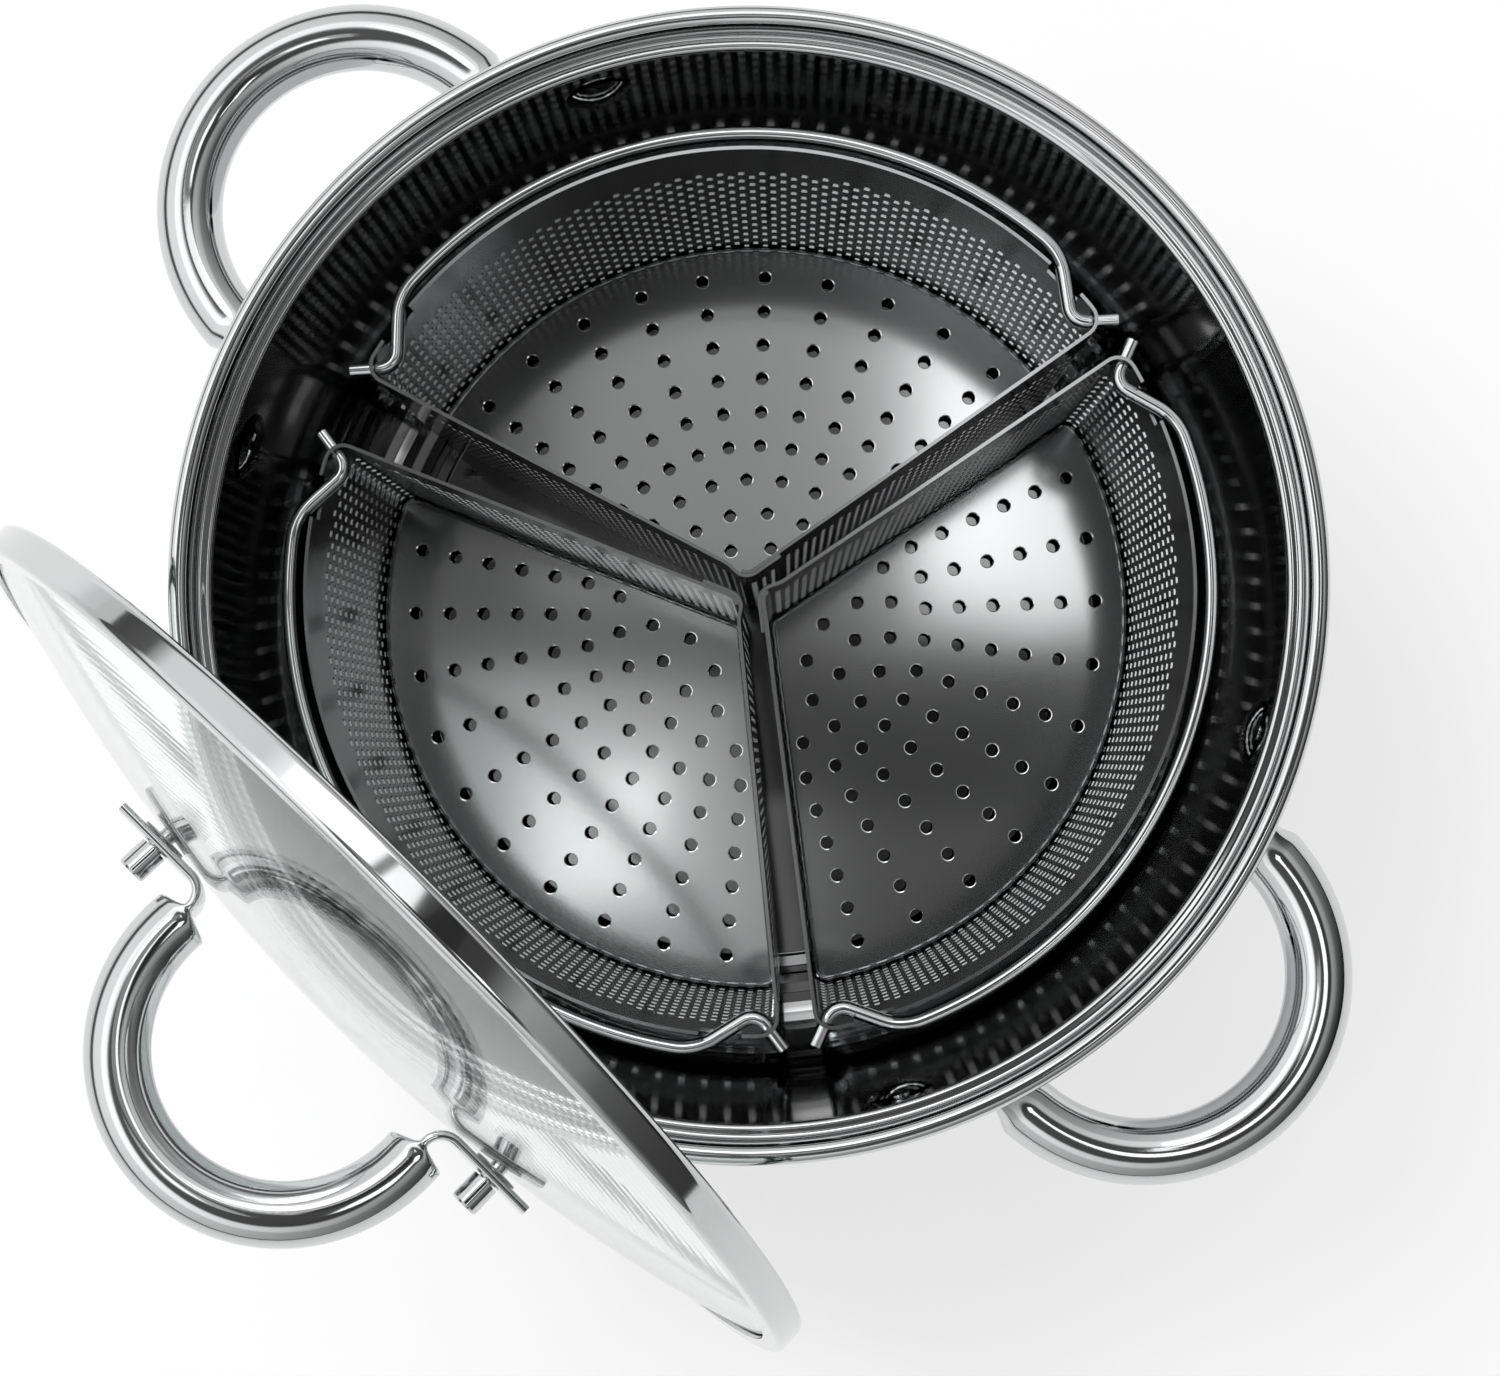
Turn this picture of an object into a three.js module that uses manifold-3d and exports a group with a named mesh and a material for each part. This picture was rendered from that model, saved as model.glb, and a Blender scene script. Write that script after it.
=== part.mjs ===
// Steamer pot: a 24 cm steel pot with two riveted tube handles, three lift-out sector baskets with
// wire bails, and a domed glass lid that stands on the table and leans on the pot's rim.
// Millimetres, +Z up. The origin is the middle of the base's underside, X runs through the two
// handles, and the lid leans on the -Y side.
import * as THREE from "three";
import { mergeVertices } from "three/addons/utils/BufferGeometryUtils.js";
import Module from "manifold-3d";

// Pot shell
const POT_INNER_RADIUS = 120;
const POT_HEIGHT = 128;
const POT_SHEET = 1;
const FLOOR_FILLET = 20;
const SEAT_WIDTH = 3.4;
const SEAT_DEPTH = 7.5;
const SEAT_FILLET = 1.2;
const LIP_RADIUS = 2.4;
const LIP_CURL = 20;

// Bonded base
const BASE_CAP_SHEET = 0.8;
const BASE_CORE_THICKNESS = 4.4;
const BASE_CAP_BEVEL = 1.5;

// Side handles and their rivets
const HANDLE_BELOW_RIM = 23;
const HANDLE_TUBE_RADIUS = 7.5;
const HANDLE_TUBE_WALL = 0.9;
const HANDLE_ARC_RADIUS = 40;
const HANDLE_ARC_OFFSET = 4.7;
const TAB_HALF_THICKNESS = 2;
const TAB_HALF_HEIGHT = 10;
const TAB_HALF_LENGTH = 9;
const NECK_FLAT_SHARE = 0.4;
const RIVET_HALF_SPACING = 58;
const RIVET_SHANK_RADIUS = 3;
const RIVET_DOME_RADIUS = 7.8;
const RIVET_DOME_HEIGHT = 2.4;
const RIVET_UPSET_RADIUS = 4.5;
const RIVET_UPSET_HEIGHT = 1.4;

// Baskets
const BASKET_BEARINGS = { right: 20.2, rear: 138.2, front: 261.6 };
const BASKET_WALL_GAP = 17;
const BASKET_BELOW_RIM = 25;
const BASKET_TAPER = 1.5;
const BASKET_SHEET = 0.8;
const BASKET_HALF_ANGLE = 58.5;
const BASKET_APEX_OFFSET = 3;
const BASKET_CORNER_RADIUS = 4.5;
const BASKET_APEX_RADIUS = 3;
const BASKET_FLOOR_LIFT = 4.5;
const BASKET_FLANGE = 3;
const STEAM_HOLE_RADIUS = 1.7;
const STEAM_HOLE_PITCH = 9.15;
const STEAM_HOLE_MARGIN = 9.7;
const STEAM_HOLE_WALL_MARGIN = 5.5;
const STEAM_HOLE_ROWS = [10, 10, 10, 10, 10, 10, 7, 4, 2];
const STEAM_HOLE_STEPS = [10.7, 10.7, 10.7, 10.7, 10.7, 10.7, 15, 21, 34];

// Wire bails
const BAIL_WIRE_RADIUS = 1.75;
const BAIL_ARC_GAP = 4;
const BAIL_BELOW_TOP = 4.2;
const BAIL_TIP_LENGTH = 5;
const BAIL_INNER_RUN = 2;
const BAIL_INNER_BEND = 4;
const BAIL_INNER_TURN = 85;
const BAIL_OUTER_BEND = 14;
const EAR_LENGTH = 7;
const NOTCH_LENGTH = 10;

// Lid
const LID_BAND_HEIGHT = 7.4;
const LID_BAND_SHEET = 0.8;
const LID_BAND_BEVEL = 1;
const LID_BAND_TOP_LIP = 5;
const LID_BAND_BOTTOM_LIP = 3.5;
const LID_GLASS_THICKNESS = 4;
const LID_GLASS_RISE = 18;
const LID_FOOT_DISTANCE = 142;
const LID_TUBE_RADIUS = 7.2;
const LID_TUBE_WALL = 0.8;
const LID_ARC_RADIUS = 36.5;
const LID_ARC_PAST = 4;
const LID_FOOT_BEND = 5;
const LID_NECK = 2.5;
const LID_TAB_HALF_THICKNESS = 1.2;
const LID_TAB_HALF_WIDTH = 8;
const LID_TAB_LENGTH = 21;
const LID_SPACER_THICKNESS = 1;
const LID_SPACER_RADIUS = 5.5;
const LID_SEAL_THICKNESS = 2.2;
const LID_SEAL_RADIUS = 6.5;
const LID_SCREW_RADIUS = 2;
const LID_SCREW_HEAD_RADIUS = 5;
const LID_SCREW_HEAD_HEIGHT = 2;
const LID_NUT_RADIUS = 3.4;
const LID_NUT_HEIGHT = 7;
const LID_NUT_ROOF = 1.5;

// Clearances
const SEAT_GAP = 0.3;
const LID_CLEARANCE = 0.6;
const BORE_CLEARANCE = 0.4;
const LEAN_GAP = 0.4;

// Facets of round shapes
const ROUND_FACETS = 48;
const SMALL_FACETS = 12;
const HOLE_FACETS = 6;
const TUBE_SIDES = 10;
const WIRE_SIDES = 6;
const FLOOR_STEPS = 4;
const FOLD_STEPS = 2;
const LIP_STEPS = 6;
const DOME_STEPS = 3;
const HANDLE_STEPS = 14;
const NECK_STEPS = 5;
const TAB_STEPS = 3;
const WALL_STEPS = 18;
const CORNER_STEPS = 5;
const GLASS_RINGS = 7;
const FINE_RINGS = 24;
const WELD_DISTANCE = 1e-4;
const HALVINGS = 40;

const radians = THREE.MathUtils.degToRad;
const mix = THREE.MathUtils.lerp;
const vec = (x, y) => new THREE.Vector2(x, y);

const wasm = await Module();
wasm.setup();

// A closed geometry as a solid that can be joined and cut.
function solidOf(geometry) {
  const bare = geometry.clone();
  bare.deleteAttribute("normal");
  bare.deleteAttribute("uv");
  const welded = mergeVertices(bare, WELD_DISTANCE);
  return new wasm.Manifold(
    new wasm.Mesh({
      numProp: 3,
      vertProperties: new Float32Array(welded.attributes.position.array),
      triVerts: new Uint32Array(welded.index.array),
    }),
  );
}

// A solid back as a geometry.
function geometryOf(solid) {
  const mesh = solid.getMesh();
  const geometry = new THREE.BufferGeometry();
  geometry.setAttribute("position", new THREE.BufferAttribute(mesh.vertProperties, 3));
  geometry.setIndex(new THREE.BufferAttribute(mesh.triVerts, 1));
  geometry.computeVertexNormals();
  return geometry;
}

function cut(geometry, cutters) {
  const solid = cutters.reduce((left, cutter) => left.subtract(solidOf(cutter)), solidOf(geometry));
  return geometryOf(solid);
}

function piece(name, geometry, finish) {
  const mesh = new THREE.Mesh(geometry, new THREE.MeshStandardMaterial(finish));
  mesh.name = name;
  return mesh;
}

const POLISHED_STEEL = { color: 0xb4b6b9, roughness: 0.12, metalness: 1 };
const SATIN_STEEL = { color: 0x9a9c9f, roughness: 0.32, metalness: 1 };
const ALUMINIUM = { color: 0xb9bcc0, roughness: 0.45, metalness: 1 };
const CLEAR_GLASS = { color: 0xe6f0ee, roughness: 0.03, metalness: 0, transparent: true, opacity: 0.25 };
const CLEAR_SILICONE = { color: 0xd8dad8, roughness: 0.5, metalness: 0 };

// Points of an arc in a plane, angles in degrees.
function arc(centre, radius, from, to, steps) {
  return Array.from({ length: steps + 1 }, (_, i) => {
    const angle = radians(mix(from, to, i / steps));
    return vec(centre.x + radius * Math.cos(angle), centre.y + radius * Math.sin(angle));
  });
}

// Points of a shallow dome from its tip to its edge, as radius and depth below the tip.
function dome(radius, height) {
  const sphere = (radius ** 2 + height ** 2) / (2 * height);
  return Array.from({ length: DOME_STEPS + 1 }, (_, i) => {
    const out = (radius * i) / DOME_STEPS;
    return vec(out, sphere - Math.sqrt(sphere ** 2 - out ** 2));
  });
}

// A profile of (radius, height) points turned about +Z. It starts and ends on the axis, or on itself.
function turned(profile, facets) {
  return new THREE.LatheGeometry(profile, facets).rotateX(Math.PI / 2);
}

function closed(profile) {
  return [...profile, profile[0].clone()];
}

// A plain round bar along +Z.
function bar(radius, low, high, facets) {
  return turned([vec(0, low), vec(radius, low), vec(radius, high), vec(0, high)], facets);
}

// A bar laid along +X, at a height.
function crossBar(radius, low, high, height, facets) {
  return bar(radius, low, high, facets).rotateY(Math.PI / 2).translate(0, 0, height);
}

// A flat outline raised from one height to another.
function raised(outline, holes, low, high) {
  const shape = new THREE.Shape(outline);
  shape.holes = holes.map((hole) => new THREE.Path(hole));
  const geometry = new THREE.ExtrudeGeometry(shape, { depth: high - low, bevelEnabled: false });
  return geometry.translate(0, 0, low);
}

// A closed band through rings of equally many points: each ring joins the next, and the last the first.
function ringBand(rings) {
  const count = rings[0].length;
  const index = [];
  rings.forEach((_, r) => {
    const next = (r + 1) % rings.length;
    for (let k = 0; k < count; k++) {
      const right = (k + 1) % count;
      const [a, b] = [r * count + k, r * count + right];
      const [c, d] = [next * count + right, next * count + k];
      index.push(a, b, d, b, c, d);
    }
  });
  const points = rings.flat().flatMap((p) => [p.x, p.y, p.z]);
  const geometry = new THREE.BufferGeometry();
  geometry.setAttribute("position", new THREE.Float32BufferAttribute(points, 3));
  geometry.setIndex(index);
  return geometry;
}

// A flat route of runs and bends. A bend turns left by its degrees, or right if they are negative.
// across and up are the section's half sizes in the route's plane and square to it.
function route(start, heading, legs) {
  const stations = [{ ...start, heading: radians(heading) }];
  for (const leg of legs) {
    const from = stations.at(-1);
    for (let i = 1; i <= leg.steps; i++) {
      const share = i / leg.steps;
      const section = { across: mix(from.across, leg.across, share), up: mix(from.up, leg.up, share) };
      stations.push({ ...section, ...(leg.run ? runOn(from, leg.run * share) : bendOn(from, leg, share)) });
    }
  }
  return stations;
}

function runOn(from, length) {
  const x = from.x + length * Math.cos(from.heading);
  const y = from.y + length * Math.sin(from.heading);
  return { x, y, heading: from.heading };
}

function bendOn(from, leg, share) {
  const heading = from.heading + radians(leg.bend) * share;
  const reach = leg.radius * Math.sign(leg.bend);
  const x = from.x + reach * (Math.sin(heading) - Math.sin(from.heading));
  const y = from.y - reach * (Math.cos(heading) - Math.cos(from.heading));
  return { x, y, heading };
}

// The ring of points round one station of a route, its section shrunk by an inset.
function sectionRing(station, sides, inset) {
  const across = station.across - inset;
  const up = station.up - inset;
  return Array.from({ length: sides }, (_, k) => {
    const angle = (2 * Math.PI * (k + 0.5)) / sides;
    const aside = across * Math.cos(angle);
    return new THREE.Vector3(
      station.x - aside * Math.sin(station.heading),
      station.y + aside * Math.cos(station.heading),
      up * Math.sin(angle),
    );
  });
}

// A tube along a route, open at both ends.
function hollowTube(stations, sides, wall) {
  const outside = stations.map((station) => sectionRing(station, sides, 0));
  const inside = stations.map((station) => sectionRing(station, sides, wall));
  return ringBand([...outside, ...inside.reverse()]);
}

// A solid wire along a route.
function wire(stations, sides) {
  const rings = stations.map((station) => sectionRing(station, sides, 0));
  const index = [];
  rings.slice(1).forEach((_, r) => {
    for (let k = 0; k < sides; k++) {
      const right = (k + 1) % sides;
      const [a, b] = [r * sides + k, r * sides + right];
      const [c, d] = [b + sides, a + sides];
      index.push(a, b, d, b, c, d);
    }
  });
  const last = (rings.length - 1) * sides;
  for (let k = 1; k < sides - 1; k++) {
    index.push(0, k + 1, k, last, last + k, last + k + 1);
  }
  const points = rings.flat().flatMap((p) => [p.x, p.y, p.z]);
  const geometry = new THREE.BufferGeometry();
  geometry.setAttribute("position", new THREE.Float32BufferAttribute(points, 3));
  geometry.setIndex(index);
  return geometry;
}

// Heights and radii that the pieces share
const potOuterRadius = POT_INNER_RADIUS + POT_SHEET;
const floorUnderside = BASE_CAP_SHEET + BASE_CORE_THICKNESS;
const floorTop = floorUnderside + POT_SHEET;
const floorRadius = POT_INNER_RADIUS - FLOOR_FILLET;
const seatRadius = POT_INNER_RADIUS + SEAT_WIDTH;
const seatTop = POT_HEIGHT - SEAT_DEPTH;
const lipCentre = vec(seatRadius + LIP_RADIUS, POT_HEIGHT - LIP_RADIUS);
const handleHeight = POT_HEIGHT - HANDLE_BELOW_RIM;
const rivetAngle = THREE.MathUtils.radToDeg(Math.asin(RIVET_HALF_SPACING / potOuterRadius));
const tabRadius = potOuterRadius + SEAT_GAP + TAB_HALF_THICKNESS;

const floorCorner = vec(floorRadius, floorTop + FLOOR_FILLET);
const floorBend = arc(floorCorner, FLOOR_FILLET, -90, 0, FLOOR_STEPS);

// Pot: the drawn shell, with a ledge for the lid and a lip rolled outwards
function potProfile() {
  const ledgeOuter = vec(seatRadius - SEAT_FILLET, seatTop + SEAT_FILLET);
  const ledgeInner = vec(POT_INNER_RADIUS + SEAT_FILLET, seatTop - SEAT_FILLET);
  return [
    vec(0, floorUnderside),
    ...arc(floorCorner, FLOOR_FILLET + POT_SHEET, -90, 0, FLOOR_STEPS),
    vec(potOuterRadius, seatTop - POT_SHEET),
    ...arc(ledgeOuter, SEAT_FILLET + POT_SHEET, -90, 0, FOLD_STEPS),
    ...arc(lipCentre, LIP_RADIUS - POT_SHEET, 180, -LIP_CURL, LIP_STEPS),
    ...arc(lipCentre, LIP_RADIUS, -LIP_CURL, 180, LIP_STEPS),
    ...arc(ledgeOuter, SEAT_FILLET, 0, -90, FOLD_STEPS),
    ...arc(ledgeInner, SEAT_FILLET, 90, 180, FOLD_STEPS),
    ...floorBend.toReversed(),
    vec(0, floorTop),
  ];
}

const rivetBearings = [rivetAngle, -rivetAngle, 180 + rivetAngle, 180 - rivetAngle];

function makePot() {
  const holes = rivetBearings.map((bearing) =>
    crossBar(
      RIVET_SHANK_RADIUS + BORE_CLEARANCE,
      POT_INNER_RADIUS - FLOOR_FILLET,
      potOuterRadius + FLOOR_FILLET,
      handleHeight,
      SMALL_FACETS,
    ).rotateZ(radians(bearing)),
  );
  return piece("pot_body", cut(turned(potProfile(), ROUND_FACETS), holes), POLISHED_STEEL);
}

// Base: an aluminium disc under the floor, closed in by a steel cap
function makeBase() {
  const core = bar(
    floorRadius - BASE_CAP_SHEET - SEAT_GAP,
    BASE_CAP_SHEET,
    floorUnderside,
    ROUND_FACETS,
  );
  const cap = turned(
    [
      vec(0, 0),
      vec(floorRadius - BASE_CAP_BEVEL, 0),
      vec(floorRadius, BASE_CAP_BEVEL),
      vec(floorRadius, floorUnderside),
      vec(floorRadius - BASE_CAP_SHEET, floorUnderside),
      vec(floorRadius - BASE_CAP_SHEET, BASE_CAP_SHEET),
      vec(0, BASE_CAP_SHEET),
    ],
    ROUND_FACETS,
  );
  return [piece("base_core", core, ALUMINIUM), piece("base_cap", cap, SATIN_STEEL)];
}

// Side handle: a tube bent to a half ring, its ends pressed flat along the wall and riveted
function handleRoute() {
  const tabHalfTurn = THREE.MathUtils.radToDeg(TAB_HALF_LENGTH / tabRadius);
  const [tabEnd, tabStart] = [rivetAngle + tabHalfTurn, rivetAngle - tabHalfTurn];
  const arcCentre = potOuterRadius + HANDLE_ARC_OFFSET;
  const leave = vec(
    tabRadius * Math.cos(radians(tabStart)) - arcCentre,
    tabRadius * Math.sin(radians(tabStart)),
  );
  const leaning = leave.x * Math.cos(radians(tabStart)) + leave.y * Math.sin(radians(tabStart));
  const neck = (leave.lengthSq() - HANDLE_ARC_RADIUS ** 2) / (2 * (HANDLE_ARC_RADIUS - leaning));
  const neckCentre = vec(
    leave.x + neck * Math.cos(radians(tabStart)),
    leave.y + neck * Math.sin(radians(tabStart)),
  );
  const arcStart = THREE.MathUtils.radToDeg(Math.atan2(neckCentre.y, neckCentre.x));
  const flatTurn = (arcStart - tabStart) * NECK_FLAT_SHARE;
  const roundTurn = arcStart - tabStart - flatTurn;
  const flat = { across: TAB_HALF_THICKNESS, up: TAB_HALF_HEIGHT };
  const round = { across: HANDLE_TUBE_RADIUS, up: HANDLE_TUBE_RADIUS };
  const start = {
    x: tabRadius * Math.cos(radians(tabEnd)),
    y: tabRadius * Math.sin(radians(tabEnd)),
    ...flat,
  };
  return route(start, tabEnd - 90, [
    { bend: -2 * tabHalfTurn, radius: tabRadius, steps: TAB_STEPS, ...flat },
    { bend: flatTurn, radius: neck, steps: FOLD_STEPS, ...flat },
    { bend: roundTurn, radius: neck, steps: NECK_STEPS, ...round },
    { bend: -2 * arcStart, radius: HANDLE_ARC_RADIUS, steps: HANDLE_STEPS, ...round },
    { bend: roundTurn, radius: neck, steps: NECK_STEPS, ...flat },
    { bend: flatTurn, radius: neck, steps: FOLD_STEPS, ...flat },
    { bend: -2 * tabHalfTurn, radius: tabRadius, steps: TAB_STEPS, ...flat },
  ]);
}

function makeHandle(name, bearing) {
  const holes = [rivetAngle, -rivetAngle].map((angle) =>
    crossBar(
      RIVET_SHANK_RADIUS + BORE_CLEARANCE,
      POT_INNER_RADIUS,
      tabRadius + TAB_HALF_LENGTH,
      0,
      SMALL_FACETS,
    ).rotateZ(radians(angle)),
  );
  const tube = hollowTube(handleRoute(), TUBE_SIDES, HANDLE_TUBE_WALL);
  const mesh = piece(name, cut(tube, holes), POLISHED_STEEL);
  mesh.position.z = handleHeight;
  mesh.rotation.z = radians(bearing);
  return mesh;
}

// Rivet: a shallow dome inside the pot, a shank through wall and tab, an upset head outside
function makeRivet(number, bearing) {
  const domeBase = Math.sqrt(POT_INNER_RADIUS ** 2 - RIVET_DOME_RADIUS ** 2) - SEAT_GAP;
  const tabOutside = tabRadius + TAB_HALF_THICKNESS + SEAT_GAP;
  const profile = [
    ...dome(RIVET_DOME_RADIUS, RIVET_DOME_HEIGHT).map((p) => vec(p.x, domeBase - RIVET_DOME_HEIGHT + p.y)),
    vec(RIVET_SHANK_RADIUS, domeBase),
    vec(RIVET_SHANK_RADIUS, tabOutside),
    ...dome(RIVET_UPSET_RADIUS, RIVET_UPSET_HEIGHT)
      .map((p) => vec(p.x, tabOutside + RIVET_UPSET_HEIGHT - p.y))
      .reverse(),
  ];
  const geometry = turned(profile, SMALL_FACETS).rotateY(Math.PI / 2);
  const mesh = piece(`handle_rivet_${number}`, geometry, POLISHED_STEEL);
  mesh.position.z = handleHeight;
  mesh.rotation.z = radians(bearing);
  return mesh;
}

// Basket outline: a sector of the pot with rounded corners, moved in by an inset
const basketTopRadius = POT_INNER_RADIUS - BASKET_WALL_GAP;
const basketTop = POT_HEIGHT - BASKET_BELOW_RIM;
const basketBottomRadius = basketTopRadius - BASKET_TAPER;
const basketFoot = floorHeight(basketBottomRadius) + SEAT_GAP;
const basketFloorUnderside = floorTop + BASKET_FLOOR_LIFT;
const halfAngle = radians(BASKET_HALF_ANGLE);

// Height of the pot's floor, with its round edge, at a radius.
function floorHeight(radius) {
  const next = floorBend.findIndex((p) => p.x > radius);
  if (next < 1) return floorTop;
  const [low, high] = [floorBend[next - 1], floorBend[next]];
  return mix(low.y, high.y, (radius - low.x) / (high.x - low.x));
}

// The middle of the round corner between the arc wall and a straight wall.
function cornerCentre(arcRadius) {
  const apex = BASKET_APEX_OFFSET;
  const round = BASKET_CORNER_RADIUS;
  const shift = apex * Math.cos(halfAngle);
  const rest = apex ** 2 + 2 * apex * round * Math.sin(halfAngle) + round ** 2 - (arcRadius - round) ** 2;
  const along = Math.sqrt(shift ** 2 - rest) - shift;
  return vec(
    apex + along * Math.cos(halfAngle) + round * Math.sin(halfAngle),
    along * Math.sin(halfAngle) - round * Math.cos(halfAngle),
  );
}

function sectorOutline(arcRadius, inset) {
  const corner = cornerCentre(arcRadius);
  const spread = THREE.MathUtils.radToDeg(Math.atan2(corner.y, corner.x));
  const wallNormal = 90 + BASKET_HALF_ANGLE;
  const apexCentre = vec(BASKET_APEX_OFFSET + BASKET_APEX_RADIUS / Math.sin(halfAngle), 0);
  const round = BASKET_CORNER_RADIUS - inset;
  return [
    ...arc(vec(0, 0), arcRadius - inset, -spread, spread, WALL_STEPS).slice(1, -1),
    ...arc(corner, round, spread, wallNormal, CORNER_STEPS),
    ...arc(apexCentre, BASKET_APEX_RADIUS - inset, wallNormal, 360 - wallNormal, CORNER_STEPS),
    ...arc(vec(corner.x, -corner.y), round, -wallNormal, -spread, CORNER_STEPS),
  ];
}

const atHeight = (outline, height) => outline.map((p) => new THREE.Vector3(p.x, p.y, height));

// Basket wall: a strip bent round the sector, with an ear at each corner and a notch beside it
const bailHeight = basketTop - BAIL_BELOW_TOP;
const earCentre = cornerCentre(basketTopRadius);
const earOutside = earCentre.y + BASKET_CORNER_RADIUS;
const earSpread = Math.atan2(earCentre.y, earCentre.x);
const earBend = BASKET_CORNER_RADIUS * (Math.PI / 2 - earSpread);
const notchStart = earSpread - (EAR_LENGTH - earBend) / basketTopRadius;
const notchEnd = notchStart - NOTCH_LENGTH / basketTopRadius;

function notchCutter(side) {
  const [near, far] = [basketTopRadius - BASKET_WALL_GAP, POT_INNER_RADIUS];
  const corners = [
    [near, notchEnd],
    [far, notchEnd],
    [far, notchStart],
    [near, notchStart],
  ];
  const outline = corners.map(([radius, angle]) =>
    vec(radius * Math.cos(angle), side * radius * Math.sin(angle)),
  );
  const depth = BAIL_BELOW_TOP + BAIL_WIRE_RADIUS + 2 * BORE_CLEARANCE;
  return raised(outline, [], basketTop - depth, POT_HEIGHT);
}

function makeBasketWall(name) {
  const wall = ringBand([
    atHeight(sectorOutline(basketBottomRadius, 0), basketFoot),
    atHeight(sectorOutline(basketTopRadius, 0), basketTop),
    atHeight(sectorOutline(basketTopRadius, BASKET_SHEET), basketTop),
    atHeight(sectorOutline(basketBottomRadius, BASKET_SHEET), basketFoot),
  ]);
  const earReach = earOutside + BAIL_TIP_LENGTH;
  const earHoles = bar(BAIL_WIRE_RADIUS + BORE_CLEARANCE, -earReach, earReach, SMALL_FACETS)
    .rotateX(Math.PI / 2)
    .translate(earCentre.x, 0, bailHeight);
  return piece(`${name}_wall`, cut(wall, [earHoles, notchCutter(1), notchCutter(-1)]), SATIN_STEEL);
}

// Basket floor: a perforated pan whose edge is turned down inside the wall
function fromStraightWall(point) {
  return (point.x - BASKET_APEX_OFFSET) * Math.sin(halfAngle) - Math.abs(point.y) * Math.cos(halfAngle);
}

// The rows run from the arc wall inwards, as far as there is room between the straight walls.
function steamHoles() {
  const outerRow = basketBottomRadius - STEAM_HOLE_MARGIN;
  const centres = STEAM_HOLE_ROWS.flatMap((count, row) =>
    Array.from({ length: count }, (_, i) => {
      const radius = outerRow - row * STEAM_HOLE_PITCH;
      const angle = radians((i - (count - 1) / 2) * STEAM_HOLE_STEPS[row]);
      return vec(radius * Math.cos(angle), radius * Math.sin(angle));
    }),
  );
  return centres
    .filter((centre) => fromStraightWall(centre) >= STEAM_HOLE_WALL_MARGIN)
    .map((centre) => arc(centre, STEAM_HOLE_RADIUS, 0, 360, HOLE_FACETS).slice(0, -1));
}

function makeBasketFloor(name) {
  const inset = BASKET_SHEET + SEAT_GAP;
  const panTop = basketFloorUnderside + BASKET_SHEET;
  const rim = sectorOutline(basketBottomRadius, inset);
  const rimInside = sectorOutline(basketBottomRadius, inset + BASKET_SHEET);
  const pan = solidOf(raised(rim, steamHoles(), basketFloorUnderside, panTop));
  const flange = solidOf(raised(rim, [rimInside], basketFloorUnderside - BASKET_FLANGE, panTop));
  return piece(`${name}_floor`, geometryOf(pan.add(flange)), SATIN_STEEL);
}

// Bail: a wire round the outside of the arc wall that turns in through the notches and out of the ears
function bailRoute() {
  const arcRadius = basketTopRadius + BAIL_ARC_GAP;
  const gauge = { across: BAIL_WIRE_RADIUS, up: BAIL_WIRE_RADIUS };
  const tip = { x: earCentre.x, y: earOutside + BAIL_TIP_LENGTH, ...gauge };
  const inward = [
    { run: BAIL_TIP_LENGTH + BAIL_INNER_RUN, steps: 1, ...gauge },
    { bend: BAIL_INNER_TURN, radius: BAIL_INNER_BEND, steps: NECK_STEPS, ...gauge },
  ];
  const inside = route(tip, -90, inward).at(-1);
  const bendAside = inside.heading - Math.PI / 2;
  const bendFrom = vec(
    inside.x + BAIL_OUTER_BEND * Math.cos(bendAside),
    inside.y + BAIL_OUTER_BEND * Math.sin(bendAside),
  );
  const drift = bendFrom.x * Math.cos(inside.heading) + bendFrom.y * Math.sin(inside.heading);
  const crossing = Math.sqrt(drift ** 2 - bendFrom.lengthSq() + (arcRadius - BAIL_OUTER_BEND) ** 2) - drift;
  const bendCentre = vec(
    bendFrom.x + crossing * Math.cos(inside.heading),
    bendFrom.y + crossing * Math.sin(inside.heading),
  );
  const arcStart = THREE.MathUtils.radToDeg(Math.atan2(bendCentre.y, bendCentre.x));
  const outerTurn = arcStart - 90 - THREE.MathUtils.radToDeg(inside.heading);
  const outward = [
    { run: crossing, steps: 1, ...gauge },
    { bend: outerTurn, radius: BAIL_OUTER_BEND, steps: TAB_STEPS, ...gauge },
  ];
  const round = { bend: -2 * arcStart, radius: arcRadius, steps: HANDLE_STEPS, ...gauge };
  const there = [...inward, ...outward];
  return route(tip, -90, [...there, round, ...there.toReversed()]);
}

function makeBail(name) {
  const mesh = piece(`${name}_bail`, wire(bailRoute(), WIRE_SIDES), POLISHED_STEEL);
  mesh.position.z = bailHeight;
  return mesh;
}

function makeBasket(place, bearing) {
  const name = `${place}_basket`;
  const basket = new THREE.Group();
  basket.add(makeBasketWall(name), makeBasketFloor(name), makeBail(name));
  basket.rotation.z = radians(bearing);
  return basket;
}

// Lid, in its own frame: z is 0 at the band's lower edge and runs out through the top of the dome
const bandRadius = seatRadius - LID_CLEARANCE;
const glassRadius = bandRadius - LID_BAND_SHEET - SEAT_GAP;
const domeRadius = (glassRadius ** 2 + LID_GLASS_RISE ** 2) / (2 * LID_GLASS_RISE);
const domeDrop = (radius) => domeRadius - Math.sqrt(domeRadius ** 2 - radius ** 2);
const lipUnderside = LID_BAND_HEIGHT - LID_BAND_SHEET - SEAT_GAP;
const crown = lipUnderside + domeDrop(bandRadius - LID_BAND_TOP_LIP);
const domeCentre = crown - domeRadius;

// Height of the glass's outer face, or of a face offset outwards from it, at a radius.
const glassHeight = (radius, offset) => domeCentre + Math.sqrt((domeRadius + offset) ** 2 - radius ** 2);

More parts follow.
